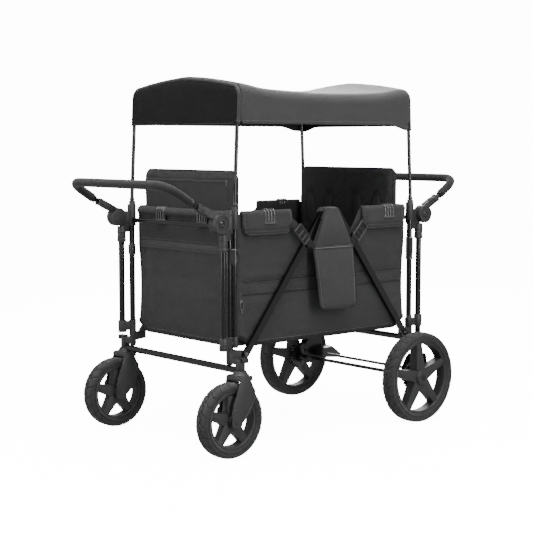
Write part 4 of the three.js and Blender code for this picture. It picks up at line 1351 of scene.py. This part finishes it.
class WAGON_OT_padding(Operator):
    """Backrests, benches, floor mat and harness straps"""

    bl_idname = "wagon.padding"
    bl_label = "Padding"

    def execute(self, context):
        self.backrests()
        self.benches()
        self.mat()
        return {"FINISHED"}

    def backrests(self):
        outline = rounded(-0.2335, 0.2335, 0.352, 0.8455, 0.036, 7)
        obj = pad_object("front_backrest_pad", slab(outline, -0.3520, -0.3245, "X", 0.009))
        inflate(obj, 4.0, 0.008)

        def groove(p):
            inner = p.x > -0.338
            zip_line = dip(p.z, 0.806, 0.0035, 0.0028) * (0 if inner else 1)
            seat_line = dip(p.z, 0.640, 0.006, 0.0040) + dip(p.y, 0, 0.006, 0.0050) * (1 if inner else 0)
            soft = 0.0012 * dent(p, 13, 1.7)
            return zip_line + (seat_line if inner else 0) + soft
        pressed(obj, groove)
        limited(obj, (-0.3575, -0.2378, 0.345), (-0.3188, 0.2378, 0.8500))
        other = twin(obj, "rear_backrest_pad")
        for end, pad in (("front", obj), ("rear", other)):
            dress(pad, "padding_cloth", f"{end}_frame", f"{end}_backrest", sharp=80, fine=1)
            way, onto = SIGN[end], surface_of(pad)
            line = [onto((way * 0.370, -0.211 + 0.422 * k / 30, 0.806), 0.0003) for k in range(31)]
            piece(f"{end}_backrest_zip", strap(line, (way, 0, 0), 0.0045, 0.0016), "tape_cloth", f"{end}_frame")
            slider = onto((way * 0.370, -0.200, 0.806)).x * way
            pull = block(-0.2022, -0.1978, slider, slider + 0.0012, 0.782, 0.804, 0.0004)
            pull.join(block(-0.2045, -0.1955, slider - 0.0004, slider + 0.0018, 0.802, 0.810, 0.0006))
            piece(f"{end}_backrest_zip_pull", pull.moved(lambda p: (way * p.y, p.x, p.z)), "dark_steel",
                  f"{end}_frame")
            edge = smooth_path([(way * 0.3380, -0.240, 0.50), (way * 0.3380, -0.240, 0.857),
                                (way * 0.3380, 0.240, 0.857), (way * 0.3380, 0.240, 0.50)], 0.036, 0.006)
            piping = Shape()
            for depth in (-0.0155, 0.0155):
                piping.join(tube([onto(p + Vector((way * depth, 0, 0))) for p in edge], 0.0020, 8, 0.0005))
            piece(f"{end}_backrest_piping", piping, "binding", f"{end}_frame")
            for y in (-0.115, 0.115):
                self.harness(end, y, onto)

    def benches(self):
        outline = rounded(-0.3120, -0.1205, -0.2235, 0.2235, 0.020, 5)
        obj = pad_object("front_bench_pad", slab(outline, 0.4600, 0.4940, "Z", 0.009))
        inflate(obj, 4.0, 0.006)

        def groove(p):
            top = p.z > 0.478
            lines = dip(p.y, 0, 0.006, 0.0050) + dip(p.x, -0.170, 0.005, 0.0035) + dip(p.x, -0.240, 0.005, 0.0030)
            return (lines if top else 0) + 0.001 * dent(p, 14, 4.4)
        pressed(obj, groove)
        limited(obj, (-0.3172, -0.2300, 0.4555), (-0.1150, 0.2300, 0.5015))
        other = twin(obj, "rear_bench_pad")
        for end, pad in (("front", obj), ("rear", other)):
            dress(pad, "padding_cloth", f"{end}_seat", f"{end}_seat", sharp=80, fine=1)

    def mat(self):
        """Thin quilted floor mat."""
        rows = []
        for k in range(71):
            x = -0.352 + 0.704 * k / 70
            edge_x = 0.352 - abs(x)
            row = []
            for j in range(49):
                y = -0.242 + 0.484 * j / 48
                edge = min(edge_x, 0.242 - abs(y))
                puff = 0.0125 * ease(edge / 0.014) + 0.0022
                quilt = sum(dip(x, at, 0.005, 0.004) for at in (-0.176, 0, 0.176)) + dip(y, 0, 0.005, 0.004)
                row.append((x, y, 0.3178 + puff - quilt + 0.0006 * dent((x, y, 0), 15, 9)))
            rows.append(row)
        under = [[(x, y, 0.3177) for x, y, z in row] for row in rows]
        made = Shape().grid([a + list(reversed(b)) for a, b in zip(rows, under)], around=True, caps=True)
        pad = piece("floor_mat", made, "padding_cloth", "front_frame", "base_mat", sharp=75, folds=True)

    def harness(self, end, y, onto):
        """Shoulder straps with pads, down the face of the backrest to a buckle above the bench."""
        way, name = SIGN[end], f"{end}_{'left' if y < 0 else 'right'}"
        webs, pads = Shape(), Shape()
        for s in (-1, 1):
            route = [(way * 0.300, y + s * 0.050, 0.770), (way * 0.300, y + s * 0.036, 0.640),
                     (way * 0.300, y + s * 0.018, 0.535)]
            path = [onto(p, 0.0012) for p in smooth_path(route, 0.012, 0.008)]
            even = [path[0].lerp(path[1], k / 14) for k in range(14)] + path[1:-1]
            even += [path[-2].lerp(path[-1], k / 12) for k in range(13)]
            path = [onto((way * 0.300, p.y, p.z), 0.0012) for p in even]
            webs.join(strap(path, (-way, 0, 0.1), 0.024, 0.0018))
            cut = [p for p in path if 0.640 < p.z < 0.745]
            rows = []
            for i, p in enumerate(cut):
                f = i / (len(cut) - 1)
                h = 0.0050 * math.sin(math.pi * min(1, max(0.06, f))) ** 0.4
                w = 0.0190 * (0.75 + 0.25 * math.sin(math.pi * min(0.96, max(0.04, f))) ** 0.5)
                rows.append([(p.x - way * h * math.sin(t) * (1 if math.sin(t) > 0 else 0.5), p.y + w * math.cos(t), p.z)
                             for t in [2 * math.pi * j / 14 for j in range(14)]])
            pads.grid(rows, around=True, caps=True)
        piece(f"{name}_shoulder_webbing", webs, "binding", f"{end}_frame")
        piece(f"{name}_shoulder_pads", pads, "padding_cloth", f"{end}_frame", sharp=70)
        face = abs(onto((way * 0.300, y, 0.535)).x)
        buckle = slab(rounded(y - 0.024, y + 0.024, 0.514, 0.552, 0.009, 4), face - 0.0110, face + 0.0005, "X", 0.003)
        buckle.join(disc(0.0085, (face - 0.0110, y, 0.533), -0.0022, 0.0010, "X", 0.0008, 24))
        buckle = buckle.moved(lambda p: (way * p.x, p.y, p.z))
        piece(f"{name}_harness_buckle", buckle, "black_moulding", f"{end}_frame")


# ---------- canopy ----------

class WAGON_OT_canopy(Operator):
    """Canopy sheet with its bound hem, and the two tube hoops"""

    bl_idname = "wagon.canopy"
    bl_label = "Canopy"

    def execute(self, context):
        for end in ("front", "rear"):
            self.hoop(end)
        outer = self.sheet(0)
        inner = self.sheet(0.0016)
        n = len(outer[0])
        sheet = Shape().grid(outer)
        start = len(sheet.points)
        back = Shape().grid(inner)
        sheet.add(back.points, [tuple(reversed(f)) for f in back.faces])
        rim = [i for i in range(n)] + [r * n + n - 1 for r in range(1, len(outer))]
        rim += [(len(outer) - 1) * n + i for i in range(n - 2, -1, -1)] + [r * n for r in range(len(outer) - 2, 0, -1)]
        for a, b in zip(rim, rim[1:] + rim[:1]):
            sheet.faces.append((a, b, b + start, a + start))
        canopy = piece("canopy_cloth", sheet, "canopy_cloth", "front_hoop", "canopy_sheet", sharp=75, folds=True)
        canopy.data.materials.append(look("valance_cloth"))
        for face in canopy.data.polygons:
            face.material_index = int(abs(face.center.x) > 0.3555)
        area = self.area(outer)
        self.trim(outer)
        return {"FINISHED"}

    def hoop(self, end):
        half = [(0.3745, 0.260, 0.3353), (0.3745, 0.260, 0.752), (0.359, 0.258, 1.0745)]
        route = [(x, -y, z) for x, y, z in half] + [(0.359, 0, 1.1032)] + list(reversed(half))
        made = tube(smooth_path(route, (0.012, 0.044, 0.030, 0.044, 0.012), 0.005), 0.0060, 20)
        for y in (-0.260, 0.260):
            made.join(tube([(0.3745, y, 0.7345), (0.3745, y, 0.738), (0.3745, y, 0.744)], 0.0076, 20, 0.0012))
        piece(f"{end}_hoop_tube", made.mirrored(end, "right"), "tube_paint", f"{end}_hoop", f"{end}_canopy_hoop")

    def hem(self, x, y=0.27):
        """Height of the lower edge: level, but for the two rear corners, which hang lower."""
        return 0.9762 - 0.015 * ease((x - 0.27) / 0.08) * ease((abs(y) - 0.19) / 0.07)

    def section(self, x, inset):
        """The canopy's outline across the wagon at x, from hem to hem."""
        droop = 0.028 * max(0, 1 - (x / 0.346) ** 2)
        taut = 0.007 * ease((abs(x) - 0.24) / 0.11)
        apex, eave = 1.1150 - inset - droop + taut, 1.0870 - inset - droop * 0.55 + taut
        wide = 0.2695 - inset
        half = []
        for k in range(15):
            f = k / 14
            b = (wide - 0.032) * f
            half.append((b, apex + (eave + 0.002 - apex) * (0.25 * f + 0.75 * f * f) ** 0.9))
        for t in range(1, 9):
            a = math.radians(90 * t / 8)
            half.append((wide - 0.032 + 0.032 * math.sin(a), eave + 0.002 - 0.032 * (1 - math.cos(a))))
        for k in range(1, 17):
            z = eave - 0.030 + (self.hem(x) - eave + 0.030) * k / 16
            half.append((wide, z))
        return [(-b, z) for b, z in reversed(half[1:])] + half

    def sheet(self, inset):
        """Rows of points from the front hem, over the roof, to the rear hem, with the sides alongside."""
        rows = []
        end = 0.3735 - inset
        stations = [-1 + k / 32 for k in range(65)]
        for f in stations:
            x = f * 0.352
            row = []
            for b, z in self.section(x, inset):
                ripple = 0.0015 * dent((x, b, 0), 12, 2.9) * (1 - abs(f) ** 4)
                low = ease((1.03 - z) / 0.05)
                out = 0.0030 * dent((x * 1.6, b * 0.1, z * 0.3), 16, 5.5) * low * (1 - abs(f) ** 6)
                lean = 1 - 0.013 * (z - 0.975) / 0.112
                row.append((x * lean, b + math.copysign(out, b) * (abs(b) > 0.2), z + ripple * (abs(b) < 0.24)))
            rows.append(row)
        for way in (-1, 1):
            base = self.section(0.352 * way, inset)
            hems = [self.hem(0.352 * way, b) for b, z in base]
            extra = []
            for t, reach in ((0.35, 0.008), (0.7, 0.0155), (1.0, 0.0210)):
                fall = 0.0210 * (1 - math.sqrt(max(0, 1 - t * t)))
                row = []
                for (b, z), hem in zip(base, hems):
                    shrink = 1 - 0.03 * t * t
                    lean = 1 - 0.013 * (z - 0.975) / 0.112
                    row.append((way * ((0.352 + reach) * lean - inset * t), b * shrink,
                                max(hem, hem + (z - hem) * (1 - fall / 0.14))))
                extra.append(row)
            low = extra[-1]
            for g in (0.15, 0.4, 0.7, 1.0):
                row = []
                for hem, (x, b, z) in zip(hems, low):
                    drop = hem + (z - hem) * (1 - g)
                    bulge = 0.0025 * math.sin(math.pi * g) * dent((0, b, g * 0.05), 14, 6.1 + way)
                    row.append((x + way * (0.0012 * g + bulge) if z > hem + 0.0001 else x, b, drop))
                extra.append(row)
            rows = list(reversed(extra)) + rows if way < 0 else rows + extra
        return rows

    def area(self, rows):
        total = 0.0
        for a, b in zip(rows, rows[1:]):
            for p, q, r, s in zip(a, a[1:], b[1:], b):
                p, q, r, s = map(Vector, (p, q, r, s))
                total += ((q - p).cross(s - p).length + (q - r).cross(s - r).length) / 2
        return total

    def trim(self, rows):
        """Bound hem with its stitching, and the ridge seams over the hoops."""
        made, thread, sleeve = Shape(), Shape(), Shape()
        for side in (0, -1):
            edge = [Vector(row[side]) for row in rows if Vector(row[side]).z < 0.977]
            middle_part = [p for p in edge if abs(p.x) < 0.3735]
            made.join(tube(middle_part, 0.0021, 8, 0.0004))
            out = Vector((0, math.copysign(1, middle_part[0].y), 0))
            thread.join(stitches([p + out * 0.0006 + Vector((0, 0, 0.0085)) for p in middle_part], out, thick=0.0005))
        for index in (0, -1):
            edge = [Vector(p) for p in rows[index]]
            edge = [p for p in edge if abs(p.y) < 0.262]
            made.join(tube(edge, 0.0021, 8, 0.0004))
        stations = len(rows)
        for index, way in ((5, -1), (stations - 6, 1)):
            line = [Vector((x - way * 0.0035, y * 0.990, z - 0.0020)) for x, y, z in rows[index]]
            sleeve.join(tube(line, 0.0062, 14, 0.0010))
        piece("canopy_sleeves", sleeve, "canopy_cloth", "front_hoop", sharp=60, folds=True)
        piece("canopy_binding", made, "binding", "front_hoop", sharp=60, folds=True)
        piece("canopy_thread", thread, "thread", "front_hoop", folds=True)


# ---------- stage ----------

class WAGON_OT_stage(Operator):
    """Pale floor, soft lights and the camera"""

    bl_idname = "wagon.stage"
    bl_label = "Floor, lights and camera"

    def execute(self, context):
        look_of = context.scene.wagon.stage
        pale = Surface("pale_floor")
        point, _ = pale.place()
        tone = pale.between(pale.speckle(point, 3, 4), shade(tuple(look_of.floor), 0.985), tuple(look_of.floor))
        pale.finish(bump=pale.speckle(point, 60, 3), height=0.0002, strength=0.1, roughness=0.7, base_color=tone,
                    emission_color=tone, emission_strength=look_of.glow)
        self.backdrop("floor", Shape().grid([[(x * 12, y * 12, -0.0005) for x in (-1, 0, 1)] for y in (-1, 0, 1)]),
                      pale.material)
        wall = []
        for k in range(13):
            up = math.radians(90 * k / 12.5)
            wall.append([(12 * math.cos(t) * math.cos(up), 12 * math.sin(t) * math.cos(up), 12 * math.sin(up))
                         for t in [2 * math.pi * j / 64 for j in range(64)]])
        self.backdrop("backdrop", Shape().grid(wall, around=True), pale.material)
        world = bpy.data.worlds.new("white_surround")
        world.use_nodes = True
        world.node_tree.nodes["Background"].inputs["Color"].default_value = (1, 1, 1, 1)
        world.node_tree.nodes["Background"].inputs["Strength"].default_value = look_of.sky
        context.scene.world = world
        for name, place, size, tall, power in (("overhead", (-0.6, -0.6, 3.4), 3.0, 3.0, look_of.key * 1.1),
                                               ("near_side", (-0.5, -4.0, 1.5), 0.40, 2.6, look_of.key * 0.52),
                                               ("far_end", (-3.6, 1.0, 1.4), 0.40, 2.4, look_of.key * 0.26),
                                               ("behind", (3.0, 2.6, 2.2), 1.8, 1.8, look_of.key * 0.35)):
            light = bpy.data.lights.new(name, "AREA")
            light.shape = "RECTANGLE"
            light.size = size
            light.size_y = tall
            light.energy = power
            lamp = bpy.data.objects.new(name, light)
            lamp.location = place
            lamp.rotation_euler = (Vector((0, 0, 0.55)) - Vector(place)).to_track_quat("-Z", "Y").to_euler()
            context.scene.collection.objects.link(lamp)
        self.camera(context, look_of.lens)
        return {"FINISHED"}

    def backdrop(self, name, shape, finish):
        """A pale surface that the camera sees, and that adds no light to the wagon."""
        mesh = bpy.data.meshes.new(name)
        mesh.from_pydata(shape.points, [], shape.faces)
        for face in mesh.polygons:
            face.use_smooth = True
        mesh.materials.append(finish)
        made = bpy.data.objects.new(name, mesh)
        made.visible_diffuse = made.visible_glossy = made.visible_shadow = False
        bpy.context.scene.collection.objects.link(made)

    def camera(self, context, lens):
        turn, pitch = math.radians(40.87), math.radians(5.42)
        data = bpy.data.cameras.new("camera")
        data.lens, data.sensor_width = lens, 36
        camera = bpy.data.objects.new("camera", data)
        camera.location = (-2.7971, -3.2017, 0.9201)
        ahead = Vector((math.sin(turn) * math.cos(pitch), math.cos(turn) * math.cos(pitch), -math.sin(pitch)))
        camera.rotation_euler = ahead.to_track_quat("-Z", "Y").to_euler()
        context.scene.collection.objects.link(camera)
        context.scene.camera = camera


class WAGON_PT_sidebar(Panel):
    """Sizes and colours of the wagon, and a button for each group of pieces"""

    bl_label = "Folding wagon"
    bl_space_type = "VIEW_3D"
    bl_region_type = "UI"
    bl_category = "Wagon"

    def draw(self, context):
        for group in ("cloth", "frame", "wheel", "stage"):
            box = self.layout.box()
            settings = getattr(context.scene.wagon, group)
            for name in settings.__annotations__:
                box.prop(settings, name)
        for operator in OPERATORS:
            self.layout.operator(operator.bl_idname)


OPERATORS = (WAGON_OT_stage, WAGON_OT_tubes, WAGON_OT_mouldings, WAGON_OT_handles, WAGON_OT_wheels, WAGON_OT_body,
             WAGON_OT_covers, WAGON_OT_padding, WAGON_OT_canopy)
CLASSES = (ClothLook, FrameLook, WheelShape, StageLook, WagonSettings, *OPERATORS, WAGON_PT_sidebar)


def register():
    for cls in CLASSES:
        bpy.utils.register_class(cls)
    bpy.types.Scene.wagon = PointerProperty(type=WagonSettings)


def unregister():
    del bpy.types.Scene.wagon
    for cls in reversed(CLASSES):
        bpy.utils.unregister_class(cls)


def main():
    register()
    for operator in OPERATORS:
        group, name = operator.bl_idname.split(".")
        getattr(getattr(bpy.ops, group), name)()


if __name__ == "__main__":
    main()
